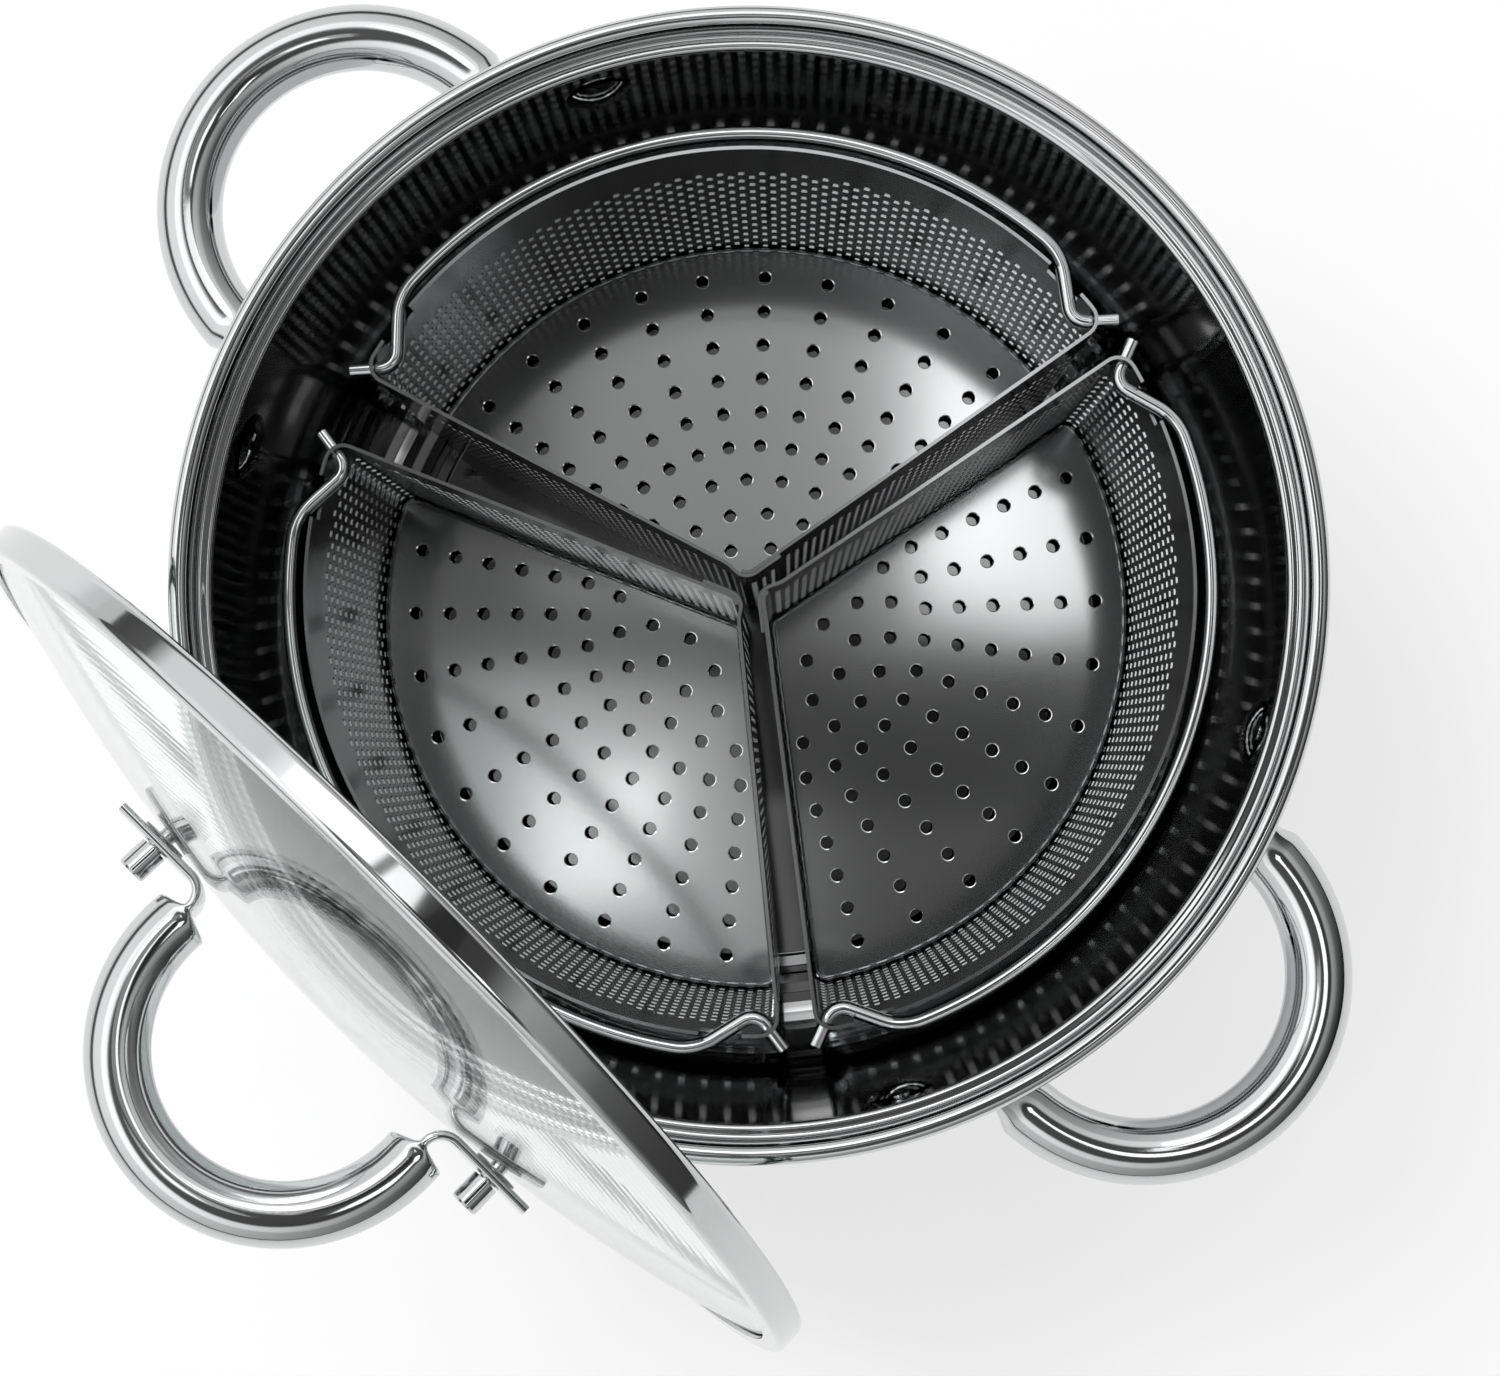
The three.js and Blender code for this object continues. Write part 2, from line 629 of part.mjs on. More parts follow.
function domeFace(offset, edge, rings) {
  return Array.from({ length: rings + 1 }, (_, i) => {
    const radius = edge * (1 - i / rings);
    return vec(radius, glassHeight(radius, offset));
  });
}

const past = radians(LID_ARC_PAST);
const footInner = (LID_ARC_RADIUS + LID_FOOT_BEND) * Math.cos(past) - LID_NECK * Math.sin(past);
const footX = footInner + LID_TAB_LENGTH / 2;
const spacerTop = glassHeight(footX, 0) + SEAT_GAP + LID_SPACER_THICKNESS;
const tabMiddle = spacerTop + SEAT_GAP + LID_TAB_HALF_THICKNESS;
const glassBore = LID_SCREW_RADIUS + 2 * BORE_CLEARANCE;

function makeGlass() {
  const profile = [
    ...domeFace(-LID_GLASS_THICKNESS, glassRadius, GLASS_RINGS).reverse(),
    ...domeFace(0, glassRadius, GLASS_RINGS),
  ];
  const holes = [footX, -footX].map((x) => bar(glassBore, 0, 2 * crown, SMALL_FACETS).translate(x, 0, 0));
  return piece("lid_glass", cut(turned(profile, ROUND_FACETS), holes), CLEAR_GLASS);
}

function bandProfile() {
  const inside = bandRadius - LID_BAND_SHEET;
  const underTop = LID_BAND_HEIGHT - LID_BAND_SHEET;
  return [
    vec(bandRadius - LID_BAND_BOTTOM_LIP, 0),
    vec(bandRadius - LID_BAND_BEVEL, 0),
    vec(bandRadius, LID_BAND_BEVEL),
    vec(bandRadius, LID_BAND_HEIGHT - LID_BAND_BEVEL),
    vec(bandRadius - LID_BAND_BEVEL, LID_BAND_HEIGHT),
    vec(bandRadius - LID_BAND_TOP_LIP, LID_BAND_HEIGHT),
    vec(bandRadius - LID_BAND_TOP_LIP, underTop),
    vec(inside, underTop),
    vec(inside, LID_BAND_SHEET),
    vec(bandRadius - LID_BAND_BOTTOM_LIP, LID_BAND_SHEET),
  ];
}

function makeBand() {
  return piece("lid_band", turned(closed(bandProfile()), ROUND_FACETS), POLISHED_STEEL);
}

// Lid handle: a tube bent past a half ring, its ends pressed into flat feet
function makeLidHandle() {
  const flat = { across: LID_TAB_HALF_THICKNESS, up: LID_TAB_HALF_WIDTH };
  const round = { across: LID_TUBE_RADIUS, up: LID_TUBE_RADIUS };
  const footTurn = 90 + LID_ARC_PAST;
  const start = { x: -footX - LID_TAB_LENGTH / 2, y: 0, ...flat };
  const stations = route(start, 0, [
    { run: LID_TAB_LENGTH, steps: 1, ...flat },
    { bend: footTurn, radius: LID_FOOT_BEND, steps: NECK_STEPS, ...flat },
    { run: LID_NECK, steps: 1, ...round },
    { bend: -2 * footTurn, radius: LID_ARC_RADIUS, steps: HANDLE_STEPS, ...round },
    { run: LID_NECK, steps: 1, ...flat },
    { bend: footTurn, radius: LID_FOOT_BEND, steps: NECK_STEPS, ...flat },
    { run: LID_TAB_LENGTH, steps: 1, ...flat },
  ]);
  const tube = hollowTube(stations, TUBE_SIDES, LID_TUBE_WALL).rotateX(Math.PI / 2);
  const bore = LID_SCREW_RADIUS + BORE_CLEARANCE;
  const holes = [footX, -footX].map((x) =>
    bar(bore, -LID_TAB_LENGTH, LID_TAB_LENGTH, SMALL_FACETS).translate(x, 0, 0),
  );
  const mesh = piece("lid_handle", cut(tube, holes), POLISHED_STEEL);
  mesh.position.z = tabMiddle;
  return mesh;
}

// One foot's fastening: screw and seal inside the glass, spacer and barrel nut outside
function makeFootFastening(side, x) {
  const washer = (radius, low, high) =>
    cut(bar(radius, low, high, SMALL_FACETS), [
      bar(LID_SCREW_RADIUS + BORE_CLEARANCE, low - LID_NUT_HEIGHT, high + LID_NUT_HEIGHT, SMALL_FACETS),
    ]).translate(x, 0, 0);
  const underGlass = (offset) =>
    turned([vec(0, 0), vec(bandRadius, 0), ...domeFace(offset, bandRadius, FINE_RINGS)], ROUND_FACETS);
  const glassInside = glassHeight(footX, -LID_GLASS_THICKNESS);
  const glassOutside = glassHeight(footX, 0);
  const spacer = cut(washer(LID_SPACER_RADIUS, glassOutside - LID_GLASS_THICKNESS, spacerTop), [
    underGlass(SEAT_GAP),
  ]);
  const sealLow = glassInside - SEAT_GAP - LID_SEAL_THICKNESS;
  const seal = solidOf(washer(LID_SEAL_RADIUS, sealLow, glassOutside)).intersect(
    solidOf(underGlass(-LID_GLASS_THICKNESS - SEAT_GAP)),
  );
  const headTop = sealLow - SEAT_GAP;
  const nutLow = tabMiddle + LID_TAB_HALF_THICKNESS + SEAT_GAP;
  const nutHigh = nutLow + LID_NUT_HEIGHT;
  const screwTop = nutHigh - LID_NUT_ROOF - BORE_CLEARANCE;
  const screw = turned(
    [
      ...dome(LID_SCREW_HEAD_RADIUS, LID_SCREW_HEAD_HEIGHT).map((p) =>
        vec(p.x, headTop - LID_SCREW_HEAD_HEIGHT + p.y),
      ),
      vec(LID_SCREW_RADIUS, headTop),
      vec(LID_SCREW_RADIUS, screwTop),
      vec(0, screwTop),
    ],
    SMALL_FACETS,
  ).translate(x, 0, 0);
  const nutBore = LID_SCREW_RADIUS + BORE_CLEARANCE;
  const nut = turned(
    closed([
      vec(nutBore, nutLow),
      vec(LID_NUT_RADIUS, nutLow),
      vec(LID_NUT_RADIUS, nutHigh),
      vec(0, nutHigh),
      vec(0, nutHigh - LID_NUT_ROOF),
      vec(nutBore, nutHigh - LID_NUT_ROOF),
    ]),
    SMALL_FACETS,
  ).translate(x, 0, 0);
  return [
    piece(`lid_screw_${side}`, screw, SATIN_STEEL),
    piece(`lid_seal_${side}`, geometryOf(seal), CLEAR_SILICONE),
    piece(`lid_spacer_${side}`, spacer, CLEAR_SILICONE),
    piece(`lid_nut_${side}`, nut, POLISHED_STEEL),
  ];
}

// The lid's place for a lean from upright: its band stands on the table a set distance from the pot's axis.
function lidPlace(lean) {
  const reach = Math.max(...bandProfile().map((p) => p.x * Math.cos(lean) - p.y * Math.sin(lean)));
  return new THREE.Vector3(0, bandRadius * Math.sin(lean) - LID_FOOT_DISTANCE, reach + SEAT_GAP);
}

// The gap that a lean leaves between the glass's inner face and the pot's lip.
function leanGap(lean) {
  const place = lidPlace(lean);
  const aside = -lipCentre.x - place.y;
  const above = lipCentre.y - place.z;
  const up = aside * Math.sin(lean) + above * Math.cos(lean);
  const out = above * Math.sin(lean) - aside * Math.cos(lean);
  return domeRadius - LID_GLASS_THICKNESS - Math.hypot(up, out - domeCentre) - LIP_RADIUS;
}

// The lean at which the glass comes to rest on the lip, found by halving.
function restingLean() {
  let [upright, over] = [0, Math.PI / 3];
  for (let i = 0; i < HALVINGS; i++) {
    const middle = (upright + over) / 2;
    if (leanGap(middle) > LEAN_GAP) upright = middle;
    else over = middle;
  }
  return upright;
}

function makeLid() {
  const lid = new THREE.Group();
  lid.add(makeGlass(), makeBand(), makeLidHandle());
  lid.add(...makeFootFastening("left", -footX), ...makeFootFastening("right", footX));
  const lean = restingLean();
  lid.rotation.x = Math.PI / 2 - lean;
  lid.position.copy(lidPlace(lean));
  return lid;
}

const steamerPot = new THREE.Group();
steamerPot.add(makePot(), ...makeBase());
steamerPot.add(makeHandle("side_handle_right", 0), makeHandle("side_handle_left", 180));
steamerPot.add(...rivetBearings.map((bearing, i) => makeRivet(i + 1, bearing)));
steamerPot.add(...Object.entries(BASKET_BEARINGS).map(([place, bearing]) => makeBasket(place, bearing)));
steamerPot.add(makeLid());

export default steamerPot;
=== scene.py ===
import math

import bmesh
import bpy
from mathutils import Matrix, Vector
from mathutils.geometry import delaunay_2d_cdt


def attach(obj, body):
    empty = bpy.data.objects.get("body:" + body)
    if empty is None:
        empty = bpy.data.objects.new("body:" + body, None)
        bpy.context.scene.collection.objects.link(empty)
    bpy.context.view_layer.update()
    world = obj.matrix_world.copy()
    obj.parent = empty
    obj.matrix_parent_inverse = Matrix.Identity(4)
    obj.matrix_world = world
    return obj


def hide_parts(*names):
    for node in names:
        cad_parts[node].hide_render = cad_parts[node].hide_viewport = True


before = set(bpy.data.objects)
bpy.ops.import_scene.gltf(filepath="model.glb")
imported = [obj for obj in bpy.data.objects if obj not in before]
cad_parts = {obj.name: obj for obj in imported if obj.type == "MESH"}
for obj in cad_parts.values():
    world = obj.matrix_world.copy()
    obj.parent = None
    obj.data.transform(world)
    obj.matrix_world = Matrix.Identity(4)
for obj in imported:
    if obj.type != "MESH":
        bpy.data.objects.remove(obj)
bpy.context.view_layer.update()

# Camera: a normal lens that looks down on the pot from a little off its axis, rolled so that the
# handles run from the upper left to the lower right. The lens leans slightly away from upright.
MM = 0.001
CAMERA_PLACE = Vector((36.2, -22.4, 630.1)) * MM
FRAME_WIDTH_PIXELS = 1500
FOCAL_PIXELS = 2293
LEAN_LEFT_PIXELS = 42.3
LEAN_UP_PIXELS = 80.4
IMAGE_RIGHT_DEGREES = 44.57
SENSOR_MM = 36
NEAREST = 0.01


def in_scene(name, data):
    """A new object in the scene."""
    thing = bpy.data.objects.new(name, data)
    bpy.context.scene.collection.objects.link(thing)
    return thing


image_roll = math.radians(IMAGE_RIGHT_DEGREES)
image_right = Vector((math.cos(image_roll), math.sin(image_roll), 0))
image_up = Vector((-math.sin(image_roll), math.cos(image_roll), 0))
look = Vector((0, 0, -FOCAL_PIXELS)) - image_right * LEAN_LEFT_PIXELS + image_up * LEAN_UP_PIXELS
look.normalize()
camera_right = look.cross(image_up).normalized()
camera_up = camera_right.cross(look)
camera = in_scene("camera", bpy.data.cameras.new("camera"))
camera.data.sensor_width = SENSOR_MM
camera.data.lens = FOCAL_PIXELS / FRAME_WIDTH_PIXELS * SENSOR_MM
camera.data.clip_start = NEAREST
camera.matrix_world = (
    Matrix.Translation(CAMERA_PLACE)
    @ Matrix((camera_right, camera_up, -look)).transposed().to_4x4()
)
bpy.context.scene.camera = camera
bpy.context.scene.view_settings.view_transform = "Standard"

# Pot: a deep drawn polished steel shell, its floor painted dark as shade under the baskets. A ledge for the
# lid is pressed into its mouth, the edge above it is curled outwards into a lip, and a ring is pressed into
# the floor.
POT_INNER_RADIUS = 120
POT_HEIGHT = 128
POT_SHEET = 1
FLOOR_FILLET = 20
FLOOR_UNDERSIDE = 5.2
FLOOR_TOP = 6.2
SEAT_RADIUS = 123.4
SEAT_HEIGHT = 120.5
SEAT_FILLET = 1.2
LIP_RADIUS = 2.4
LIP_CURL = 20
FLOOR_RING = ((97.6, 0), (97.0, -0.5), (95.6, -0.5), (95.2, 0), (92.6, 0.5), (91.8, 0))
STEEL_COLOUR = (0.60, 0.605, 0.61)
# Painted shade: the pot's steel is painted dark on its floor, standing for the shade under the baskets.
FLOOR_SHADE_COLOUR = (0.18, 0.18, 0.182)
FLOOR_SHADE_RISE = 1
FLOOR_SHADE_BLEND = 1
POT_SEGMENTS = 240
HOLD = 0.25
SEAM_GAP = 2e-6
SLIVER = 1e-7


def arc(centre, radius, start, end, steps):
    """Points of an arc in a flat drawing, angles in degrees."""
    turns = [math.radians(start + (end - start) * i / steps) for i in range(steps + 1)]
    return [(centre[0] + radius * math.cos(t), centre[1] + radius * math.sin(t)) for t in turns]


def ring(centre, radius, sides):
    """Points all round a circle in a flat drawing."""
    return arc(centre, radius, 0, 360 - 360 / sides, sides - 1)


def skin(rings):
    """The points of rings of one size, and the faces between each ring and the next."""
    sides = len(rings[0])
    faces = []
    for first in range(0, (len(rings) - 1) * sides, sides):
        for k in range(sides):
            a, b = first + k, first + (k + 1) % sides
            faces.append((a, b, b + sides, a + sides))
    return [point for points in rings for point in points], faces


def held(profile):
    """A profile with a point added close to each end of its long straight runs, so that the shading
    of the bends stays in the bends."""
    points = [profile[0]]
    for (r, z), (next_r, next_z) in zip(profile, profile[1:]):
        length = math.hypot(next_r - r, next_z - z)
        if length > 3 * HOLD:
            share = HOLD / length
            points += [(r + (next_r - r) * t, z + (next_z - z) * t) for t in (share, 1 - share)]
        points.append((next_r, next_z))
    return points


def turned(profile, segments):
    """Vertices and faces of a profile of (radius, height) points turned about +Z."""
    return skin([[(*point, z) for point in ring((0, 0), r, segments)] for r, z in held(profile)])


def finish_of(name, colour, **values):
    """A material of one colour, with the given values on its shader's sockets."""
    material = bpy.data.materials.new(name)
    material.use_nodes = True
    shader = material.node_tree.nodes["Principled BSDF"]
    shader.inputs["Base Color"].default_value = (*colour, 1)
    for label, value in values.items():
        shader.inputs[label.replace("_", " ")].default_value = value
    return material


def steel(name, colour, roughness, wave_scale=0.0, wave_depth=0.0, edge=1.0):
    """A bare steel whose surface can be a little uneven: wave_depth is in metres. An edge below 1
    dulls what it mirrors at a flat angle."""
    tint = (edge, edge, edge, 1)
    material = finish_of(name, colour, Metallic=1, Roughness=roughness, Specular_Tint=tint)
    nodes, links = material.node_tree.nodes, material.node_tree.links
    if wave_depth:
        place = nodes.new("ShaderNodeTexCoord")
        noise = nodes.new("ShaderNodeTexNoise")
        noise.inputs["Scale"].default_value = wave_scale
        noise.inputs["Detail"].default_value = 1
        bump = nodes.new("ShaderNodeBump")
        bump.inputs["Strength"].default_value = 1
        bump.inputs["Distance"].default_value = wave_depth
        links.new(place.outputs["Object"], noise.inputs["Vector"])
        links.new(noise.outputs["Fac"], bump.inputs["Height"])
        links.new(bump.outputs["Normal"], nodes["Principled BSDF"].inputs["Normal"])
    return material


def set_down(name, vertices, faces, material, body, slot, stands_for, place=None, crease=35):
    """A finished piece from millimetre points, moved to its place, on its body and over its node."""
    mesh = bpy.data.meshes.new(name)
    mesh.from_pydata([Vector(v) * MM for v in vertices], [], faces)
    if place is not None:
        mesh.transform(place)
    work = bmesh.new()
    work.from_mesh(mesh)
    bmesh.ops.remove_doubles(work, verts=work.verts, dist=SEAM_GAP)
    bmesh.ops.dissolve_degenerate(work, edges=work.edges, dist=SLIVER)
    bmesh.ops.recalc_face_normals(work, faces=work.faces)
    work.to_mesh(mesh)
    work.free()
    return finish_piece(name, mesh, material, body, stands_for, crease)


def finish_piece(name, mesh, material, body, stands_for, crease):
    """Smooth shading, material, body and node for a mesh that is already in place."""
    mesh.polygons.foreach_set("use_smooth", [True] * len(mesh.polygons))
    mesh.set_sharp_from_angle(angle=math.radians(crease))
    mesh.materials.clear()
    mesh.materials.append(material)
    piece = in_scene(name, mesh)
    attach(piece, body)
    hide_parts(*stands_for)
    return piece


floor_radius = POT_INNER_RADIUS - FLOOR_FILLET
floor_corner = (floor_radius, FLOOR_TOP + FLOOR_FILLET)
ledge_outer = (SEAT_RADIUS - SEAT_FILLET, SEAT_HEIGHT + SEAT_FILLET)
ledge_inner = (POT_INNER_RADIUS + SEAT_FILLET, SEAT_HEIGHT - SEAT_FILLET)
lip_centre = (SEAT_RADIUS + LIP_RADIUS, POT_HEIGHT - LIP_RADIUS)
pot_profile = [
    (0, FLOOR_UNDERSIDE),
    *arc(floor_corner, FLOOR_FILLET + POT_SHEET, -90, 0, 12),
    (POT_INNER_RADIUS + POT_SHEET, SEAT_HEIGHT - POT_SHEET),
    *arc(ledge_outer, SEAT_FILLET + POT_SHEET, -90, 0, 6),
    *arc(lip_centre, LIP_RADIUS - POT_SHEET, 180, -LIP_CURL, 16),
    *arc(lip_centre, LIP_RADIUS, -LIP_CURL, 180, 24),
    *arc(ledge_outer, SEAT_FILLET, 0, -90, 6),
    *arc(ledge_inner, SEAT_FILLET, 90, 180, 6),
    *arc(floor_corner, FLOOR_FILLET, 0, -90, 12),
    *[(radius, FLOOR_TOP + rise) for radius, rise in FLOOR_RING],
    (0, FLOOR_TOP),
]
polish = {"roughness": 0.07, "wave_scale": 14, "wave_depth": 0.0004}
polished_steel = steel("polished steel", STEEL_COLOUR, **polish)
pot_steel = steel("pot steel", STEEL_COLOUR, **polish)
pot_nodes, pot_links = pot_steel.node_tree.nodes, pot_steel.node_tree.links
pot_height = pot_nodes.new("ShaderNodeSeparateXYZ")
pot_links.new(pot_nodes["Texture Coordinate"].outputs["Object"], pot_height.inputs[0])
# Painted shade: below this height the pot's steel turns dark, standing for the shade on the floor under the
# baskets.
floor_shade_share = pot_nodes.new("ShaderNodeMapRange")
floor_shade_top = FLOOR_TOP + FLOOR_SHADE_RISE
floor_shade_share.inputs["From Min"].default_value = floor_shade_top * MM
floor_shade_share.inputs["From Max"].default_value = (floor_shade_top + FLOOR_SHADE_BLEND) * MM
pot_links.new(pot_height.outputs["Z"], floor_shade_share.inputs["Value"])
pot_floor_shade = pot_nodes.new("ShaderNodeMix")
pot_floor_shade.data_type = "RGBA"
pot_links.new(floor_shade_share.outputs["Result"], pot_floor_shade.inputs["Factor"])
pot_floor_shade.inputs["A"].default_value = (*FLOOR_SHADE_COLOUR, 1)
pot_floor_shade.inputs["B"].default_value = (*STEEL_COLOUR, 1)
pot_links.new(pot_floor_shade.outputs["Result"], pot_nodes["Principled BSDF"].inputs["Base Color"])
set_down("pot_shell", *turned(pot_profile, POT_SEGMENTS), pot_steel, "pot", "polished_steel", ["pot_body"])

# Base: a thick aluminium disc bonded under the floor to spread the heat, closed in by a thin steel
# cap that is pressed over it.
BASE_CAP_SHEET = 0.8
BASE_BEVEL = 1.5
BASE_FIT = 0.3
CORE_SEGMENTS = 120
CAP_SEGMENTS = 180

core_radius = floor_radius - BASE_CAP_SHEET - BASE_FIT
core_profile = [
    (0, BASE_CAP_SHEET),
    (core_radius, BASE_CAP_SHEET),
    (core_radius, FLOOR_UNDERSIDE),
    (0, FLOOR_UNDERSIDE),
]
cap_profile = [
    (0, 0),
    *arc((floor_radius - BASE_BEVEL, BASE_BEVEL), BASE_BEVEL, -90, 0, 5),
    (floor_radius, FLOOR_UNDERSIDE),
    (floor_radius - BASE_CAP_SHEET, FLOOR_UNDERSIDE),
    (floor_radius - BASE_CAP_SHEET, BASE_CAP_SHEET),
    (0, BASE_CAP_SHEET),
]
aluminium = steel("bare aluminium", (0.72, 0.73, 0.74), roughness=0.4)
satin_steel = steel("satin steel", (0.56, 0.565, 0.57), roughness=0.24, wave_scale=60, wave_depth=0.0001)
set_down("base_disc", *turned(core_profile, CORE_SEGMENTS), aluminium, "pot", "aluminium", ["base_core"])
set_down("base_pan", *turned(cap_profile, CAP_SEGMENTS), satin_steel, "pot", "satin_steel", ["base_cap"])

# Side handles: polished steel tube bent to a half ring. Each end is pressed flat, curved to the
# pot's wall and riveted to it.
HANDLE_HEIGHT = 105
HANDLE_TUBE_RADIUS = 7.5
HANDLE_TUBE_WALL = 0.9
HANDLE_ARC_RADIUS = 40
HANDLE_ARC_OFFSET = 4.7
TAB_RADIUS = 123.3
TAB_HALF_THICKNESS = 2
TAB_HALF_HEIGHT = 10
TAB_HALF_LENGTH = 9
TAB_SQUARENESS = 0.45
TUBE_SIDES = 40
TUBE_CREASE = 50
NECK_FLAT_SHARE = 0.4
RIVET_HALF_SPACING = 58
POT_OUTER_RADIUS = POT_INNER_RADIUS + POT_SHEET


def route(start, heading, legs):
    """Stations along runs and bends in a plane. A bend is in degrees, left positive. Each leg ends
    in its own section: half size across and up, and squareness, 1 for round and less for flat."""
    stations = [(*start[:2], math.radians(heading), *start[2:])]
    for leg in legs:
        x, y, ahead, *section = stations[-1]
        for i in range(1, leg["steps"] + 1):
            share = i / leg["steps"]
            ease = share * share * (3 - 2 * share)
            now = [a + (b - a) * ease for a, b in zip(section, leg["section"])]
            if "run" in leg:
                reach = leg["run"] * share
                stations.append((x + reach * math.cos(ahead), y + reach * math.sin(ahead), ahead, *now))
                continue
            turn = ahead + math.radians(leg["bend"]) * share
            side = math.copysign(leg["radius"], leg["bend"])
            next_x = x + side * (math.sin(turn) - math.sin(ahead))
            next_y = y - side * (math.cos(turn) - math.cos(ahead))
            stations.append((next_x, next_y, turn, *now))
    return stations


def section_ring(station, sides, inset):
    """The points round one station, shrunk by an inset."""
    x, y, heading, across, up, squareness = station
    points = []
    for k in range(sides):
        turn = 2 * math.pi * k / sides
        cosine, sine = math.cos(turn), math.sin(turn)
        aside = (across - inset) * math.copysign(abs(cosine) ** squareness, cosine)
        above = (up - inset) * math.copysign(abs(sine) ** squareness, sine)
        points.append((x - aside * math.sin(heading), y + aside * math.cos(heading), above))
    return points


def swept(stations, sides, wall):
    """A tube along a route, open at both ends, or a solid wire if wall is 0."""
    rings = [section_ring(s, sides, 0) for s in stations]
    if wall:
        rings += [section_ring(s, sides, wall) for s in reversed(stations)]
        rings.append(rings[0])
    points, faces = skin(rings)
    if not wall:
        faces.append(tuple(range(sides - 1, -1, -1)))
        faces.append(tuple(range(len(points) - sides, len(points))))
    return points, faces


rivet_angle = math.degrees(math.asin(RIVET_HALF_SPACING / POT_OUTER_RADIUS))
tab_half_turn = math.degrees(TAB_HALF_LENGTH / TAB_RADIUS)
tab_start = math.radians(rivet_angle - tab_half_turn)
tab_end = rivet_angle + tab_half_turn
arc_centre = POT_OUTER_RADIUS + HANDLE_ARC_OFFSET
leave = Vector((TAB_RADIUS * math.cos(tab_start) - arc_centre, TAB_RADIUS * math.sin(tab_start)))
outward = Vector((math.cos(tab_start), math.sin(tab_start)))
neck_radius = (leave.length_squared - HANDLE_ARC_RADIUS**2) / (2 * (HANDLE_ARC_RADIUS - leave.dot(outward)))
neck_centre = leave + outward * neck_radius
arc_start = math.degrees(math.atan2(neck_centre.y, neck_centre.x))
neck_turn = arc_start - math.degrees(tab_start)
tab_section = (TAB_HALF_THICKNESS, TAB_HALF_HEIGHT, TAB_SQUARENESS)
tube_section = (HANDLE_TUBE_RADIUS, HANDLE_TUBE_RADIUS, 1)
tab_leg = {"bend": -2 * tab_half_turn, "radius": TAB_RADIUS, "steps": 10, "section": tab_section}
flat_leg = {"bend": neck_turn * NECK_FLAT_SHARE, "radius": neck_radius, "steps": 8, "section": tab_section}
neck_leg = {"bend": neck_turn * (1 - NECK_FLAT_SHARE), "radius": neck_radius, "steps": 16}
handle_route = route(
    (*arc((0, 0), TAB_RADIUS, tab_end, tab_end, 1)[0], *tab_section),
    tab_end - 90,
    [
        tab_leg,
        flat_leg,
        {**neck_leg, "section": tube_section},
        {"bend": -2 * arc_start, "radius": HANDLE_ARC_RADIUS, "steps": 64, "section": tube_section},
        {**neck_leg, "section": tab_section},
        flat_leg,
        tab_leg,
    ],
)
handle_lift = Matrix.Translation((0, 0, HANDLE_HEIGHT * MM))
for side, bearing in (("right", 0), ("left", 180)):
    handle_turn = Matrix.Rotation(math.radians(bearing), 4, "Z")
    set_down(
        f"tube_handle_{side}", *swept(handle_route, TUBE_SIDES, HANDLE_TUBE_WALL), polished_steel,
        "pot", "polished_steel", [f"side_handle_{side}"], handle_lift @ handle_turn, TUBE_CREASE,
    )

# Rivets: steel, a shallow dome inside the pot and a smaller upset head on the handle's tab outside.
# Each goes through the wall and the tab and is hammered tight.
RIVET_SHANK_RADIUS = 3
RIVET_DOME_RADIUS = 7.8
RIVET_DOME_HEIGHT = 2.4
RIVET_UPSET_RADIUS = 4.5
RIVET_UPSET_HEIGHT = 1.4
RIVET_FIT = 0.3
RIVET_SEGMENTS = 36


def dome(radius, height, steps):
    """Points of a shallow dome from its tip to its edge, as radius and depth below the tip."""
    ball = (radius**2 + height**2) / (2 * height)
    outs = [radius * i / steps for i in range(steps + 1)]
    return [(out, ball - math.sqrt(ball**2 - out**2)) for out in outs]


dome_base = math.sqrt(POT_INNER_RADIUS**2 - RIVET_DOME_RADIUS**2) - RIVET_FIT
tab_outside = TAB_RADIUS + TAB_HALF_THICKNESS + RIVET_FIT
inner_head = dome(RIVET_DOME_RADIUS, RIVET_DOME_HEIGHT, 8)
outer_head = dome(RIVET_UPSET_RADIUS, RIVET_UPSET_HEIGHT, 6)
rivet_profile = [
    *[(out, dome_base - RIVET_DOME_HEIGHT + deep) for out, deep in inner_head],
    (RIVET_SHANK_RADIUS, dome_base),
    (RIVET_SHANK_RADIUS, tab_outside),
    *[(out, tab_outside + RIVET_UPSET_HEIGHT - deep) for out, deep in reversed(outer_head)],
]
rivet_bearings = (rivet_angle, -rivet_angle, 180 + rivet_angle, 180 - rivet_angle)
for number, bearing in enumerate(rivet_bearings, 1):
    rivet_turn = Matrix.Rotation(math.radians(bearing), 4, "Z") @ Matrix.Rotation(math.radians(90), 4, "Y")
    set_down(
        f"rivet_{number}", *turned(rivet_profile, RIVET_SEGMENTS), polished_steel,
        "pot", "polished_steel", [f"handle_rivet_{number}"], handle_lift @ rivet_turn,
    )

# Basket walls: slotted steel strip bent round a sector of the pot, its ends lapped and spot-welded
# at the point. The upper edge is left plain, with an ear at each corner and a notch beside it.
BASKET_BEARINGS = {"right": 20.2, "rear": 138.2, "front": 261.6}
BASKET_RADIUS = 103
BASKET_TAPER = 1.5
BASKET_TOP = 103
BASKET_FOOT = 6.8
BASKET_SHEET = 0.8
BASKET_HALF_ANGLE = 58.5
BASKET_APEX_OFFSET = 3
BASKET_CORNER_RADIUS = 4.5
BASKET_APEX_RADIUS = 3
PLAIN_BAND = 19
SLOT_PITCH = 5.2
SLOT_ROW = 3.25
SLOT_ROWS = 23
SLOT_HALF_LENGTH = 0.85
SLOT_HALF_HEIGHT = 0.9
SLOT_DRAW = 0.35
SLOT_SHOULDER = 0.6
LAP_SLOTS = 2
